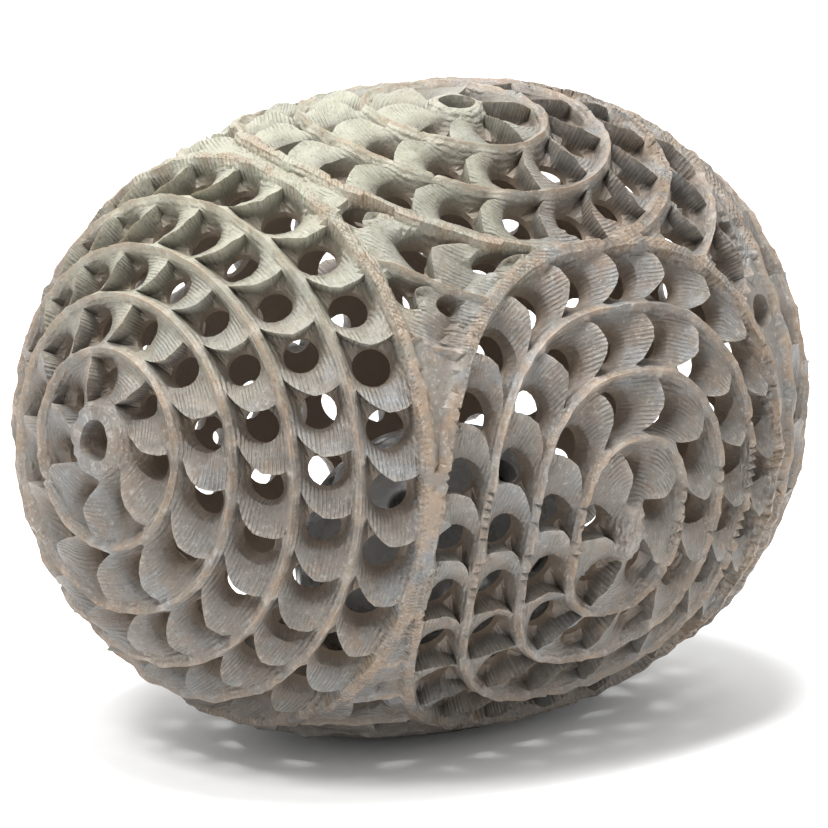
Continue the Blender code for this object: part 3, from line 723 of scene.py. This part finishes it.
class Relief:
    """The height of the outer skin's carving, and what is carved, in any direction."""

    def __init__(self, egg, rows):
        self.egg = egg
        self.rows = rows

    def look(self, ways):
        """Heights, how much each place is rib, border and tip, and its whorl."""
        count = len(ways)
        heights = np.full(count, -PLAIN_DROP)
        ribs, borders, tips = np.zeros(count), np.zeros(count), np.zeros(count)
        owners = np.full(count, -1)
        free = np.ones(count, bool)
        levels = [(order, False) for order, whorl in enumerate(WHORLS) if whorl.rows]
        levels += [(order, True) for order, whorl in enumerate(WHORLS) if whorl.outer_rows]
        for order, is_outer in levels:
            whorl = WHORLS[order]
            edge = whorl.rows + (whorl.outer_rows if is_outer else 0)
            loops, turns = whorl.places(ways)
            index = np.nonzero(free & (loops < edge + 0.4))[0]
            if not len(index):
                continue
            loop, turn = np.maximum(loops[index], 0), turns[index]
            low = np.maximum(loop - LOOP_STEP, 0)
            high = loop + LOOP_STEP
            span = self.egg.skins(whorl.ways(high, turn)) - self.egg.skins(whorl.ways(low, turn))
            width = np.linalg.norm(span, axis=1) / (high - low)
            inside = loop < edge
            away = abs(loop - np.round(loop)) * width
            rib = rib_profile(away, RIB_RISE, RIB_HALF)
            scale, tip = self.scale_heights(whorl, loop, turn)
            carved = soft_max(np.where(scale > -0.5, scale, -PLAIN_DROP), rib)
            other_border = np.where(heights[index] > -PLAIN_DROP, heights[index], -SHELL_WALL)
            heights[index] = np.where(inside, np.maximum(carved, other_border), heights[index])
            crest = np.clip(1.5 - away / 0.0005, 0, 1) * (loop > 0.3)
            ribs[index] = np.where(inside, crest, ribs[index])
            tips[index] = np.where(inside, tip, tips[index])
            if not is_outer:
                away = abs(loop - edge) * width
                border = rib_profile(away, BORDER_RISE, BORDER_HALF)
                heights[index] = soft_max(heights[index], border)
                borders[index] = np.maximum(borders[index], np.clip(2.4 - away / 0.0006, 0, 1))
            owners[index[inside]] = order
            free[index[inside]] = False
        return heights, ribs, borders, tips, owners

    def scale_heights(self, whorl, loops, turns):
        heights, tips = np.full(len(loops), -1.0), np.zeros(len(loops))
        for row in self.rows:
            if row.whorl is not whorl:
                continue
            index = np.nonzero((np.floor(loops) == row.loop))[0]
            if not len(index):
                continue
            across = loops[index] - row.loop
            distances, is_in = row.distances(across, turns[index])
            index, across, distances = index[is_in], across[is_in], distances[is_in]
            if not len(index):
                continue
            cells = row.cells
            pitch = row.length / len(cells)
            number = np.clip((distances / pitch).astype(int), 0, len(cells) - 1)
            y = (across - 0.5) * np.array([cell.width for cell in cells])[number]
            x = distances - (number + 0.5) * pitch
            here = self.cell_edges(cells, number, y, row.is_whole)
            last = self.cell_edges(cells, number - 1, y, row.is_whole)
            following = self.cell_edges(cells, number + 1, y, row.is_whole)
            before = x < here[0]
            start = np.where(before, last[1] - pitch, here[1])
            end = np.where(before, here[0], following[0] + pitch)
            t = (x - start) / np.maximum(end - start, 1e-5)
            t = np.clip(t, 0, 1)
            bend = np.minimum(1, abs(y) / np.maximum(here[2], 1e-5)) ** 2
            height = scale_profile(t, bend)
            is_hole = ~before & (x < here[1]) & ~here[3]
            blind = -RIM_DROP + (TIP_RISE + RIM_DROP) * np.exp(-np.maximum(x - here[0], 0) / 0.0005)
            height = np.where(is_hole, blind, height)
            heights[index] = height
            tips[index] = np.clip((t - 0.75) * 4, 0, 1)
        return heights, tips

    def cell_edges(self, cells, numbers, y, is_whole):
        """Where the tip's edge and the rim of a cell cross each y, half its width, and if open."""
        numbers = numbers % len(cells) if is_whole else np.clip(numbers, 0, len(cells) - 1)
        table = np.array([(cell.tip, cell.inner, cell.outer, cell.half, cell.rim, cell.place,
                           cell.outer_reach, cell.inner_reach, cell.slide * cell.width,
                           cell.is_open) for cell in cells])[numbers]
        tip, inner, outer, half, rim, place, outer_reach, inner_reach, slide, is_open = table.T
        y = y - slide
        up = np.clip((y - outer) / np.maximum(half - outer, 1e-5), 0, 1)
        down = np.clip((inner - y) / np.maximum(half + inner, 1e-5), 0, 1)
        edge = tip - outer_reach * up - inner_reach * down + TIP_BULGE * down * (1 - down) + 0.0003
        low = place + rim * np.sqrt(np.maximum(0, 1 - (y / half) ** 2))
        return edge, low, half, is_open > 0.5


class Sheet:
    """Points on a closed skin around holes, laid flat from its lowest point.

    The loop around the lowest point is the outermost one when laid flat, and a fan closes it.
    """

    def __init__(self):
        self.ways = []
        self.points = []
        self.edges = []
        self.holes = []
        self.cap = None

    def add(self, ways, points):
        start = len(self.points)
        self.ways += [tuple(way) for way in ways]
        self.points += [tuple(point) for point in points]
        return list(range(start, len(self.points)))

    def add_loop(self, ways, points, is_hole=True):
        loop = self.add(ways, points)
        self.edges += list(zip(loop, loop[1:] + loop[:1]))
        if is_hole:
            self.holes.append(loop)
        return loop

    def add_cap(self, ways, points, middle):
        """Adds the loop around the lowest point, with the point that its fan meets in."""
        self.cap = (self.add_loop(ways, points, is_hole=False), middle)

    def flat(self, ways):
        ways = np.array(ways)
        return ways[:, :2] / (1 + ways[:, 2:3])

    def clear_of_holes(self, ways):
        """Which directions lie outside every hole."""
        spots = self.flat(ways)
        outside = np.ones(len(ways), bool)
        flat = self.flat(self.ways)
        for loop in self.holes:
            middle = flat[loop].mean(axis=0)
            corners = middle + (flat[loop] - middle) * HOLE_SWELL
            low, high = corners.min(0), corners.max(0)
            index = np.nonzero(((spots > low) & (spots < high)).all(axis=1))[0]
            if len(index):
                outside[index] &= ~are_inside(spots[index], corners)
        return outside

    def spread(self, ways, points, spacing):
        """Adds those points that keep a distance from the ones already there."""
        tree = make_tree(self.points)
        kept = [k for k, point in enumerate(points) if tree.find(point)[2] > spacing]
        return self.add([ways[k] for k in kept], [points[k] for k in kept])

    def faces(self):
        """Triangles over the skin, with the holes left open."""
        flat = [Vector(spot) for spot in self.flat(self.ways)]
        _, _, faces, origins, _, _ = delaunay_2d_cdt(flat, self.edges, [], 0, 1e-9)
        assert all(len(origin) == 1 for origin in origins)
        cap_loop, cap_middle = self.cap
        owner = {index: -1 for index in cap_loop}
        for number, loop in enumerate(self.holes):
            for index in loop:
                owner[index] = number
        kept = []
        for face in faces:
            corners = [origins[index][0] for index in face]
            owners = {owner.get(index) for index in corners}
            if len(owners) == 1 and None not in owners:
                number = owners.pop()
                loop = self.holes[number] if number >= 0 else cap_loop
                centre = (flat[corners[0]] + flat[corners[1]] + flat[corners[2]]) / 3
                outline = np.array([flat[index] for index in loop])
                if are_inside(np.array([centre]), outline)[0] == (number >= 0):
                    continue
            kept.append(corners)
        self.points.append(tuple(cap_middle))
        self.ways.append((0.0, 0.0, -1.0))
        fan = [(a, b, len(self.points) - 1) for a, b in zip(cap_loop, cap_loop[1:] + cap_loop[:1])]
        return kept + fan


def are_inside(spots, outline):
    """Whether each flat point lies inside a closed outline."""
    inside = np.zeros(len(spots), bool)
    for (ax, ay), (bx, by) in zip(outline, np.roll(outline, -1, axis=0)):
        if ay == by:
            continue
        crosses = (ay > spots[:, 1]) != (by > spots[:, 1])
        inside ^= crosses & (spots[:, 0] < ax + (spots[:, 1] - ay) * (bx - ax) / (by - ay))
    return inside


def fill_ways(spacing, size):
    """Evenly spread directions, about spacing apart on a ball of the given radius."""
    count = int(4 * math.pi * size * size / (spacing * spacing))
    k = np.arange(count)
    z = 1 - 2 * (k + 0.5) / count
    turn = k * math.pi * (3 - math.sqrt(5))
    across = np.sqrt(1 - z * z)
    return np.stack((across * np.cos(turn), across * np.sin(turn), z), axis=1)


def are_beside_base(ways):
    """Whether directions are outside the base and its flutes."""
    across, up = UNDERSIDE.half_sizes(0)
    reach = (ways[:, 0] / math.sin(across)) ** 2 + (ways[:, 1] / math.sin(up)) ** 2
    return (reach > 1) | (ways[:, 2] > 0)


def rough(points):
    """Small smooth unevenness of hand-worked stone."""
    shifts = np.zeros(len(points))
    chance = random.Random(3)
    for octave in range(3):
        for _ in range(7):
            way = np.array([chance.gauss(0, 1) for _ in range(3)])
            way *= math.tau / WAVE_SIZE * 1.9 ** octave / np.linalg.norm(way)
            shifts += np.sin(points @ way + chance.uniform(0, math.tau)) * 0.75 ** octave
    return shifts * UNEVENNESS / 2


def rib_ways(whorl, egg):
    """Directions along the crests and sides of a whorl's ribs."""
    found = []
    for loop in range(whorl.rows + whorl.outer_rows + 1):
        if loop == 0 and not whorl.rows:
            continue
        half_across, half_up = whorl.half_sizes(loop)
        around = math.tau * math.hypot(half_across, half_up) / math.sqrt(2)
        count = max(8, int(around * egg.half_width * 1.2 / RIB_SPACING))
        turns = np.arange(count) * math.tau / count
        sides = BORDER_SIDES if loop == whorl.rows else RIB_SIDES
        for side in sides:
            shift = side / (math.radians(sum(whorl.step) / 2) * egg.half_width)
            if loop + shift > 0:
                shifted = turns + (math.pi / count if sides.index(side) % 2 else 0)
                found.append(whorl.ways(np.full(count, loop + shift), shifted))
    return np.concatenate(found)


def make_shell(egg):
    """The shell's points and faces, with its hole walls."""
    scales, rows = carve_scales(egg)
    relief = Relief(egg, rows)
    outer, inner = Sheet(), Sheet()
    walls = []
    for scale in scales:
        rings = scale.rings()
        ring_ways = [np.array([scale.way(spot[0], spot[1]) for spot in ring]) for ring in rings]
        if isinstance(scale, Scale):
            heights = scale.edge_heights()
        else:
            nudge = np.array([scale.way(x * HOLE_SWELL, y * HOLE_SWELL) for x, y in rings[0]])
            heights = relief.look(nudge)[0]
        heights = heights + rough(egg.skins(ring_ways[0]))
        loop = outer.add_loop(ring_ways[0], egg.skins(ring_ways[0], heights))
        middle_rings = []
        for ring, ways in list(zip(rings, ring_ways))[1:3]:
            deep = np.array([spot[2] for spot in ring])
            deep = np.maximum(deep, -heights + 0.0003)
            middle_rings.append((ways, egg.skins(ways, -deep)))
        drilled = inner.add_loop(ring_ways[3], egg.skins(ring_ways[3], -SHELL_WALL))
        walls.append((loop, middle_rings, drilled))
    add_base(outer, inner, egg)
    ways = np.concatenate([rib_ways(whorl, egg) for whorl in WHORLS])
    ways = ways[are_beside_base(ways)]
    ways = ways[outer.clear_of_holes(ways)]
    _, ribs, borders, _, _ = relief.look(ways)
    ways = ways[(ribs > 0.2) | (borders > 0.2)]
    heights = relief.look(ways)[0] + rough(egg.skins(ways))
    spread_in_steps(outer, egg, ways, heights, RIB_CLEARANCE * RIB_SPACING)
    ways = fill_ways(FINE_SPACING * 0.9, (egg.half_length + egg.half_width) / 2)
    ways = ways[are_beside_base(ways)]
    ways = ways[outer.clear_of_holes(ways)]
    heights = relief.look(ways)[0] + rough(egg.skins(ways))
    spread_in_steps(outer, egg, ways, heights, FINE_CLEARANCE * FINE_SPACING)
    ways = fill_ways(COARSE_SPACING, (egg.half_length + egg.half_width) / 2)
    ways = ways[are_beside_base(ways)]
    ways = ways[inner.clear_of_holes(ways)]
    inner.spread(ways, egg.skins(ways, -SHELL_WALL), COARSE_CLEARANCE * COARSE_SPACING)
    return outer, inner, walls, relief


def squared_gap(a, b):
    return (a[0] - b[0]) ** 2 + (a[1] - b[1]) ** 2 + (a[2] - b[2]) ** 2


def spread_in_steps(sheet, egg, ways, heights, spacing):
    """Adds points that keep their distance from the sheet's and from one another."""
    points = egg.skins(ways, heights)
    cells = {}
    for point in sheet.points:
        cells.setdefault(tuple(int(c // spacing) for c in point), []).append(point)
    kept = []
    near = [(x, y, z) for x in (-1, 0, 1) for y in (-1, 0, 1) for z in (-1, 0, 1)]
    limit = spacing * spacing
    for k, point in enumerate(points.tolist()):
        a, b, c = (int(value // spacing) for value in point)
        if not any(squared_gap(point, other) < limit for x, y, z in near
                   for other in cells.get((a + x, b + y, c + z), ())):
            kept.append(k)
            cells.setdefault((a, b, c), []).append(point)
    sheet.add(ways[kept], points[kept])


def add_base(outer, inner, egg):
    """The flat base, with flutes around its rim that fade out up the egg's side."""
    count = FLUTES * FLUTE_SAMPLES
    for level in range(FLUTE_LEVELS):
        ring = []
        share = level / (FLUTE_LEVELS - 1)
        for k in range(count):
            turn = math.tau * k / count
            lobe = abs(math.sin(math.pi * k / FLUTE_SAMPLES)) ** 0.7
            groove = FLUTE_DEPTH * (lobe - 1) * (1 - share ** 4)
            reach = plane_reach(egg, turn) + FLUTE_LENGTH * share
            height = FLUTE_RISE * share
            way = egg.way((reach * math.cos(turn), reach * math.sin(turn), height))
            point = Vector(egg.skins(np.array([way]), groove if level else 0.0)[0])
            if level == 0:
                reach += 1.5 * groove
                point = Vector((reach * math.cos(turn), reach * math.sin(turn), 0.0))
                way = egg.way(point)
            ring.append((way, point))
        ways = [way for way, _ in ring]
        points = [point for _, point in ring]
        if level == 0:
            outer.add_cap(ways, points, Vector((0, 0, 0)))
        else:
            outer.add(ways, points)
    height = egg.skins(np.array([[0.0, 0.0, -1.0]]), -SHELL_WALL)[0][2]
    ring = flat_circle(INNER_PLACE, FLOOR_RADIUS, height, 40)
    inner.add_cap([egg.way(point) for point in ring], ring, Vector((INNER_PLACE, 0, height)))


def flat_circle(x, radius, height, count):
    return [Vector((x + radius * math.cos(math.tau * k / count),
                    radius * math.sin(math.tau * k / count), height)) for k in range(count)]


def join_rings(rings):
    """Faces between neighbouring rings of equal counts."""
    faces = []
    for upper, lower in zip(rings, rings[1:]):
        count = len(upper)
        for k in range(count):
            following = (k + 1) % count
            faces.append((upper[k], upper[following], lower[following], lower[k]))
    return faces


def build_mesh(name, outer, inner, walls):
    """One closed body from an outer sheet, an inner sheet and the rings of wall between them."""
    faces = [tuple(face) for face in outer.faces()]
    shift = len(outer.points)
    faces += [tuple(shift + index for index in reversed(face)) for face in inner.faces()]
    points = outer.points + inner.points
    ways = outer.ways + inner.ways
    deep = [0.0] * len(outer.points) + [1.0] * len(inner.points)
    for loop, middle_rings, drilled in walls:
        rings = [loop]
        for number, (ring_ways, ring_points) in enumerate(middle_rings):
            rings.append(list(range(len(points), len(points) + len(ring_points))))
            points += [tuple(point) for point in ring_points]
            ways += [tuple(way) for way in ring_ways]
            deep += [0.45 + 0.25 * number] * len(ring_points)
        rings.append([shift + index for index in drilled])
        faces += join_rings(rings)
    mesh = bpy.data.meshes.new(name)
    mesh.from_pydata(points, [], faces)
    body = bmesh.new()
    body.from_mesh(mesh)
    bmesh.ops.triangulate(body, faces=[face for face in body.faces if len(face.verts) > 3])
    bmesh.ops.recalc_face_normals(body, faces=body.faces)
    if body.calc_volume(signed=True) < 0:
        bmesh.ops.reverse_faces(body, faces=body.faces)
    body.to_mesh(mesh)
    body.free()
    piece = bpy.data.objects.new(name, mesh)
    bpy.context.scene.collection.objects.link(piece)
    return piece, np.array(ways), np.array(deep)


def store(mesh, name, values):
    mesh.attributes.new(name, "FLOAT", "POINT").data.foreach_set("value", np.float32(values))


def store_grain(mesh, ways, owners):
    """A UV map in millimetres: with the flow of each whorl's rows, and across them."""
    triangles = np.zeros(len(mesh.polygons) * 3, np.int32)
    mesh.polygons.foreach_get("vertices", triangles)
    triangles = triangles.reshape(-1, 3)
    grain = np.zeros((len(triangles), 3, 2))
    centres = ways[triangles].mean(axis=1)
    centres /= np.linalg.norm(centres, axis=1, keepdims=True)
    votes = owners[triangles]
    owner = np.where(votes[:, 1] == votes[:, 2], votes[:, 1], votes[:, 0])
    for order, whorl in enumerate(WHORLS):
        index = np.nonzero(owner == order)[0]
        if not len(index):
            continue
        _, middle_turn = whorl.places(centres[index])
        for corner in range(3):
            loops, turns = whorl.places(ways[triangles[index, corner]])
            turns = middle_turn + (turns - middle_turn + math.pi) % math.tau - math.pi
            if corner == 0:
                radius = np.radians(sum(whorl.first) / 2 + sum(whorl.step) / 2 * loops)
                radius = radius * 1000 * GRAIN_RADIUS
            grain[index, corner, 0] = turns * radius
            grain[index, corner, 1] = loops * math.radians(sum(whorl.step) / 2) * 1000 * GRAIN_RADIUS
    layer = mesh.uv_layers.new(name="grain")
    layer.data.foreach_set("uv", np.float32(grain.reshape(-1)))


def finish_shell():
    outer, inner, walls, relief = make_shell(SHELL)
    piece, ways, deep = build_mesh("carved_shell", outer, inner, walls)
    mesh = piece.data
    heights, ribs, borders, tips, owners = relief.look(ways)
    on_top = deep == 0
    store(mesh, "rib", np.where(on_top, ribs, 0))
    store(mesh, "border", np.where(on_top, borders, 0))
    store(mesh, "tip", np.where(on_top, tips, 0))
    # Depth under the skin: the material's mask for its painted shade in the recesses and its painted
    # bounce light inside the hollow.
    store(mesh, "deep", np.where(on_top, np.clip(-heights / 0.004, 0, 0.4), deep))
    store_grain(mesh, ways, owners)
    mesh.shade_smooth()
    mesh.set_sharp_from_angle(angle=math.radians(38))
    return piece


def floor_height(egg):
    """The bottom of the hollow, which has a small flat where the loose egg lies."""
    return egg.skins(np.array([[0.0, 0.0, -1.0]]), -SHELL_WALL)[0][2]


def finish_inner():
    """The loose egg, resting on the bottom of the hollow."""
    flat_rise = INNER_WIDTH / 2 - math.sqrt((INNER_WIDTH / 2) ** 2 - INNER_FLAT ** 2)
    floor = floor_height(SHELL) + RESTING_GAP
    middle = Vector((INNER_PLACE, 0, floor + INNER_WIDTH / 2 - flat_rise))
    egg = Egg(INNER_LENGTH, INNER_WIDTH, INNER_TAPER, INNER_FULLNESS, middle)
    ways = [Vector((-1, 0, 0)), Vector((1, 0, 0))]
    for row, (polar, count) in enumerate(INNER_HOLE_ROWS):
        for k in range(count):
            turn = math.tau * (k + (0.5, 0)[row % 2]) / count
            ways.append(Vector((-math.cos(math.radians(polar)),
                                math.sin(math.radians(polar)) * math.sin(turn),
                                math.sin(math.radians(polar)) * math.cos(turn))))
    outer, inner = Sheet(), Sheet()
    walls = []
    for way in ways:
        side = way.cross(Vector((0.1, 0.3, 1))).normalized()
        rise = way.cross(side)
        rings = []
        for radius in (INNER_HOLE_RADIUS * 1.14, INNER_HOLE_RADIUS * 1.03, INNER_HOLE_RADIUS):
            ring = []
            for k in range(20):
                turn = math.pi - (k + 0.5) * math.tau / 20
                away = way + (side * math.cos(turn) + rise * math.sin(turn)) * radius / egg.half_width
                ring.append(away.normalized())
            rings.append(np.array(ring))
        loop = outer.add_loop(rings[0], egg.skins(rings[0]))
        middle_rings = [(rings[1], egg.skins(rings[1], -0.0002)), (rings[2], egg.skins(rings[2], -0.0006))]
        walls.append((loop, middle_rings, inner.add_loop(rings[2], egg.skins(rings[2], -INNER_WALL))))
    rim = flat_circle(middle.x, INNER_FLAT, floor, 32)
    rim_ways = [egg.way(point) for point in rim]
    outer.add_cap(rim_ways, rim, Vector((middle.x, 0, floor)))
    inner.add_cap(rim_ways, egg.skins(np.array(rim_ways), -INNER_WALL),
                  egg.skins(np.array([[0.0, 0.0, -1.0]]), -INNER_WALL)[0])
    above = math.cos(1.15 * INNER_FLAT / (INNER_WIDTH / 2))
    for sheet, lift, spacing in ((outer, 0.0, 0.0011), (inner, -INNER_WALL, 0.0025)):
        fill = fill_ways(spacing * 0.95, (egg.half_length + egg.half_width) / 2)
        fill = fill[-fill[:, 2] < above]
        fill = fill[sheet.clear_of_holes(fill)]
        spread_in_steps(sheet, egg, fill, np.full(len(fill), lift), 0.7 * spacing)
    piece, ways, deep = build_mesh("loose_egg", outer, inner, walls)
    store(piece.data, "deep", deep)
    piece.data.shade_smooth()
    piece.data.set_sharp_from_angle(angle=math.radians(40))
    return piece


class Nodes:
    """A material's nodes, added with their sockets in one line."""

    def __init__(self, name):
        self.material = bpy.data.materials.new(name)
        self.material.use_nodes = True
        self.tree = self.material.node_tree
        self.shader = self.tree.nodes["Principled BSDF"]

    def add(self, kind, settings=None, **inputs):
        node = self.tree.nodes.new("ShaderNode" + kind)
        for key, value in (settings or {}).items():
            setattr(node, key, value)
        for key, value in inputs.items():
            self.set(node, key.replace("_", " "), value)
        return node

    def set(self, node, key, value):
        is_number = key.startswith("in") and key[2:].isdigit()
        socket = node.inputs[int(key[2:]) if is_number else key]
        if isinstance(value, bpy.types.NodeSocket):
            self.tree.links.new(value, socket)
        else:
            socket.default_value = value

    def attribute(self, name):
        return self.add("Attribute", {"attribute_name": name}).outputs["Fac"]

    def math(self, operation, a, b=0.0, clamp=False):
        return self.add("Math", {"operation": operation, "use_clamp": clamp}, in0=a, in1=b).outputs[0]

    def mix(self, share, a, b):
        node = self.add("Mix", {"data_type": "RGBA"})
        self.set(node, "in0", share)
        self.set(node, "in6", a)
        self.set(node, "in7", b)
        return node.outputs[2]

    def tint(self, color, mask, share, paint):
        """The colour with a share of paint over it where the mask is."""
        return self.mix(self.math("MULTIPLY", mask, share), color, (*paint, 1))

    def noise(self, where, scale, detail=3.0, rough=0.55):
        node = self.add("TexNoise", None, Vector=where, Scale=scale, Detail=detail, Roughness=rough)
        return node.outputs["Fac"]

    def ramp(self, value, low, high):
        node = self.add("MapRange", None, Value=value)
        node.inputs["From Min"].default_value = low
        node.inputs["From Max"].default_value = high
        return node.outputs["Result"]

    def bands(self, where, way, scale, distortion):
        return self.add("TexWave", {"wave_type": "BANDS", "bands_direction": way}, Vector=where,
                        Scale=scale, Distortion=distortion, Detail=2.0).outputs["Fac"]

    def scaled(self, where, sizes):
        return self.add("Mapping", None, Vector=where, Scale=sizes).outputs["Vector"]


PALE_AND_LIT_MIDDLE = (-0.034, -0.006, 0.092)   # of the pale greenish vein near the upper left, which is also a painted highlight where the lamps fall
PALE_AND_LIT_REACH = 0.038


def marble():
    """Soft warm grey marble: pinkish tan on the crests, pale greenish with a painted highlight over the
    upper left, filed all over; with painted shade in the recesses and towards the base, and painted bounce
    light inside the hollow.
    """
    n = Nodes("soft_marble")
    place = n.add("TexCoord").outputs["Object"]
    grain = n.add("UVMap", {"uv_map": "grain"}).outputs["UV"]
    rib, border, tip, deep = (n.attribute(name) for name in ("rib", "border", "tip", "deep"))
    clouds = n.noise(place, 38, 4)
    veins = n.noise(place, 120, 5, 0.7)
    patches = n.noise(place, 210, 6, 0.7)
    speck = n.noise(place, 1300, 3, 0.7)
    strokes = n.bands(grain, "Y", 0.58, 2.0)
    strokes = n.math("MULTIPLY", strokes, n.ramp(n.noise(place, 330, 3), 0.36, 0.66))
    scratches = n.noise(n.scaled(grain, (0.9, 6.0, 1.0)), 1.0, 2, 0.6)
    color = n.mix(n.ramp(clouds, 0.36, 0.64), (0.098, 0.086, 0.072, 1), (0.160, 0.147, 0.127, 1))
    color = n.tint(color, n.ramp(patches, 0.47, 0.66), 0.85, (0.150, 0.104, 0.071))
    color = n.tint(color, n.ramp(veins, 0.49, 0.64), 0.8, (0.148, 0.156, 0.160))
    # Partly the stone's own pale green, partly a painted highlight: the upper left, where the key and top
    # lamps fall, is painted much lighter.
    away = n.add("VectorMath", {"operation": "DISTANCE"}, in0=place, in1=PALE_AND_LIT_MIDDLE)
    away = n.math("ADD", n.math("MULTIPLY", away.outputs["Value"], 1 / PALE_AND_LIT_REACH), n.noise(place, 45, 4))
    color = n.tint(color, n.ramp(away, 1.65, 1.0), 0.85, (0.315, 0.315, 0.240))
    crest = n.math("MAXIMUM", rib, border)
    tan = n.math("MULTIPLY", crest, n.ramp(n.noise(place, 230, 4), 0.38, 0.58))
    color = n.tint(color, tan, 0.7, (0.240, 0.168, 0.108))
    color = n.tint(color, n.ramp(strokes, 0.35, 0.9), 0.3, (0.300, 0.284, 0.256))
    color = n.tint(color, n.ramp(speck, 0.56, 0.76), 0.6, (0.40, 0.38, 0.35))
    color = n.tint(color, n.ramp(speck, 0.44, 0.28), 0.6, (0.055, 0.044, 0.035))
    color = n.tint(color, n.ramp(scratches, 0.58, 0.72), 0.45, (0.38, 0.37, 0.35))
    worn = n.math("MULTIPLY", tip, n.ramp(n.noise(place, 420, 3), 0.42, 0.6))
    color = n.tint(color, worn, 0.45, (0.38, 0.35, 0.31))
    # Painted shade: the stone is darkened by its depth, in the recesses under the skin and down the hole
    # walls.
    color = n.tint(color, n.ramp(deep, 0.10, 0.40), 0.55, (0.060, 0.046, 0.035))
    # Painted bounce light: the inside of the hollow, deepest of all, is painted a lighter warm brown over
    # that painted shade.
    color = n.tint(color, n.ramp(deep, 0.40, 1.0), 0.8, (0.250, 0.185, 0.130))
    # Painted shade: the stone is darkened towards the base, where the underside is in shade.
    height = n.add("SeparateXYZ", None, Vector=place).outputs["Z"]
    color = n.tint(color, n.ramp(height, 0.016, 0.001), 0.65, (0.055, 0.047, 0.040))
    n.set(n.shader, "Base Color", color)
    turned = n.add("Mapping", None, Vector=grain, Rotation=(0, 0, 0.6)).outputs["Vector"]
    hatch = n.bands(turned, "X", 0.4, 1.0)
    n.set(n.shader, "Roughness", n.ramp(speck, -0.2, 1.1))
    n.shader.inputs["Subsurface Weight"].default_value = 0.12
    n.shader.inputs["Subsurface Radius"].default_value = (1.0, 0.7, 0.45)
    n.shader.inputs["Subsurface Scale"].default_value = 0.0012
    face = n.math("SUBTRACT", 1.0, n.math("MAXIMUM", rib, deep, True), True)
    relief = n.math("MULTIPLY", n.math("ADD", strokes, n.math("MULTIPLY", scratches, 0.7)), face)
    relief = n.math("ADD", relief, n.math("MULTIPLY", hatch, n.math("MULTIPLY", border, 0.9)))
    relief = n.math("ADD", relief, n.math("MULTIPLY", n.noise(place, 1100, 4, 0.7), 0.7))
    bump = n.add("Bump", None, Height=relief, Strength=1.0, Distance=0.00026)
    n.set(n.shader, "Normal", bump.outputs["Normal"])
    return n.material


def dark_marble():
    """The loose egg's darker, half-polished stone."""
    n = Nodes("dark_marble")
    place = n.add("TexCoord").outputs["Object"]
    clouds = n.noise(place, 90, 4, 0.6)
    color = n.mix(n.ramp(clouds, 0.3, 0.7), (0.045, 0.043, 0.041, 1), (0.135, 0.130, 0.122, 1))
    n.set(n.shader, "Base Color", color)
    n.set(n.shader, "Roughness", n.ramp(n.noise(place, 300, 3), 0.1, 1.6))
    bump = n.add("Bump", None, Height=n.noise(place, 600, 3), Strength=0.4, Distance=0.0002)
    n.set(n.shader, "Normal", bump.outputs["Normal"])
    return n.material


def plain(name, color, roughness):
    n = Nodes(name)
    n.shader.inputs["Base Color"].default_value = (*color, 1)
    n.shader.inputs["Roughness"].default_value = roughness
    return n.material


# The camera, from the photograph's outline.
CAMERA_TURN = math.radians(-44.8)
CAMERA_RISE = math.radians(10.4)
CAMERA_REACH = 0.552
CAMERA_LENS = 160.5
PIXEL = CAMERA_REACH / 3691        # size of a pixel at the egg's middle


def aim(thing, target):
    thing.rotation_euler = (Vector(target) - thing.location).to_track_quat("-Z", "Y").to_euler()


def add_camera():
    camera = bpy.data.objects.new("camera", bpy.data.cameras.new("camera"))
    bpy.context.scene.collection.objects.link(camera)
    back = Vector((math.sin(CAMERA_TURN) * math.cos(CAMERA_RISE),
                   -math.cos(CAMERA_TURN) * math.cos(CAMERA_RISE), math.sin(CAMERA_RISE)))
    right = Vector((math.cos(CAMERA_TURN), math.sin(CAMERA_TURN), 0))
    middle = Vector((0, 0, BASE_DROP))
    camera.location = middle + back * CAMERA_REACH
    up = back.cross(right)
    aim(camera, middle - right * 2.1 * PIXEL - up * 5.9 * PIXEL)
    camera.data.lens = CAMERA_LENS
    camera.data.clip_start = 0.01
    bpy.context.scene.camera = camera


def add_light(name, place, size, power):
    light = bpy.data.lights.new(name, "AREA")
    light.size = size
    light.energy = power
    lamp = bpy.data.objects.new(name, light)
    lamp.location = place
    bpy.context.scene.collection.objects.link(lamp)
    aim(lamp, (0, 0, BASE_DROP))


def add_studio():
    half = 12.0
    mesh = bpy.data.meshes.new("floor")
    mesh.from_pydata([(-half, -half, 0), (half, -half, 0), (half, half, 0), (-half, half, 0)], [],
                     [(0, 1, 2, 3)])
    floor = bpy.data.objects.new("floor", mesh)
    floor.location.z = -0.0001
    bpy.context.scene.collection.objects.link(floor)
    mesh.materials.append(plain("studio_floor", (0.9, 0.9, 0.9), 0.9))
    add_light("key", (-0.70, -0.10, 1.00), 0.30, 8.0)
    add_light("top", (-0.15, -0.05, 1.10), 0.35, 17.0)
    add_light("back", (0.5, 0.7, 0.7), 0.7, 2.0)
    world = bpy.data.worlds.new("studio")
    world.use_nodes = True
    world.node_tree.nodes["Background"].inputs["Color"].default_value = (1, 1, 1, 1)
    world.node_tree.nodes["Background"].inputs["Strength"].default_value = 1.0
    bpy.context.scene.world = world


shell = finish_shell()
shell.data.materials.append(marble())
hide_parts("pierced_shell")
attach(shell, "root")

loose = finish_inner()
loose.data.materials.append(dark_marble())
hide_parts("inner_egg")
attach(loose, "root")

add_camera()
add_studio()
bpy.context.scene.view_settings.view_transform = "Standard"
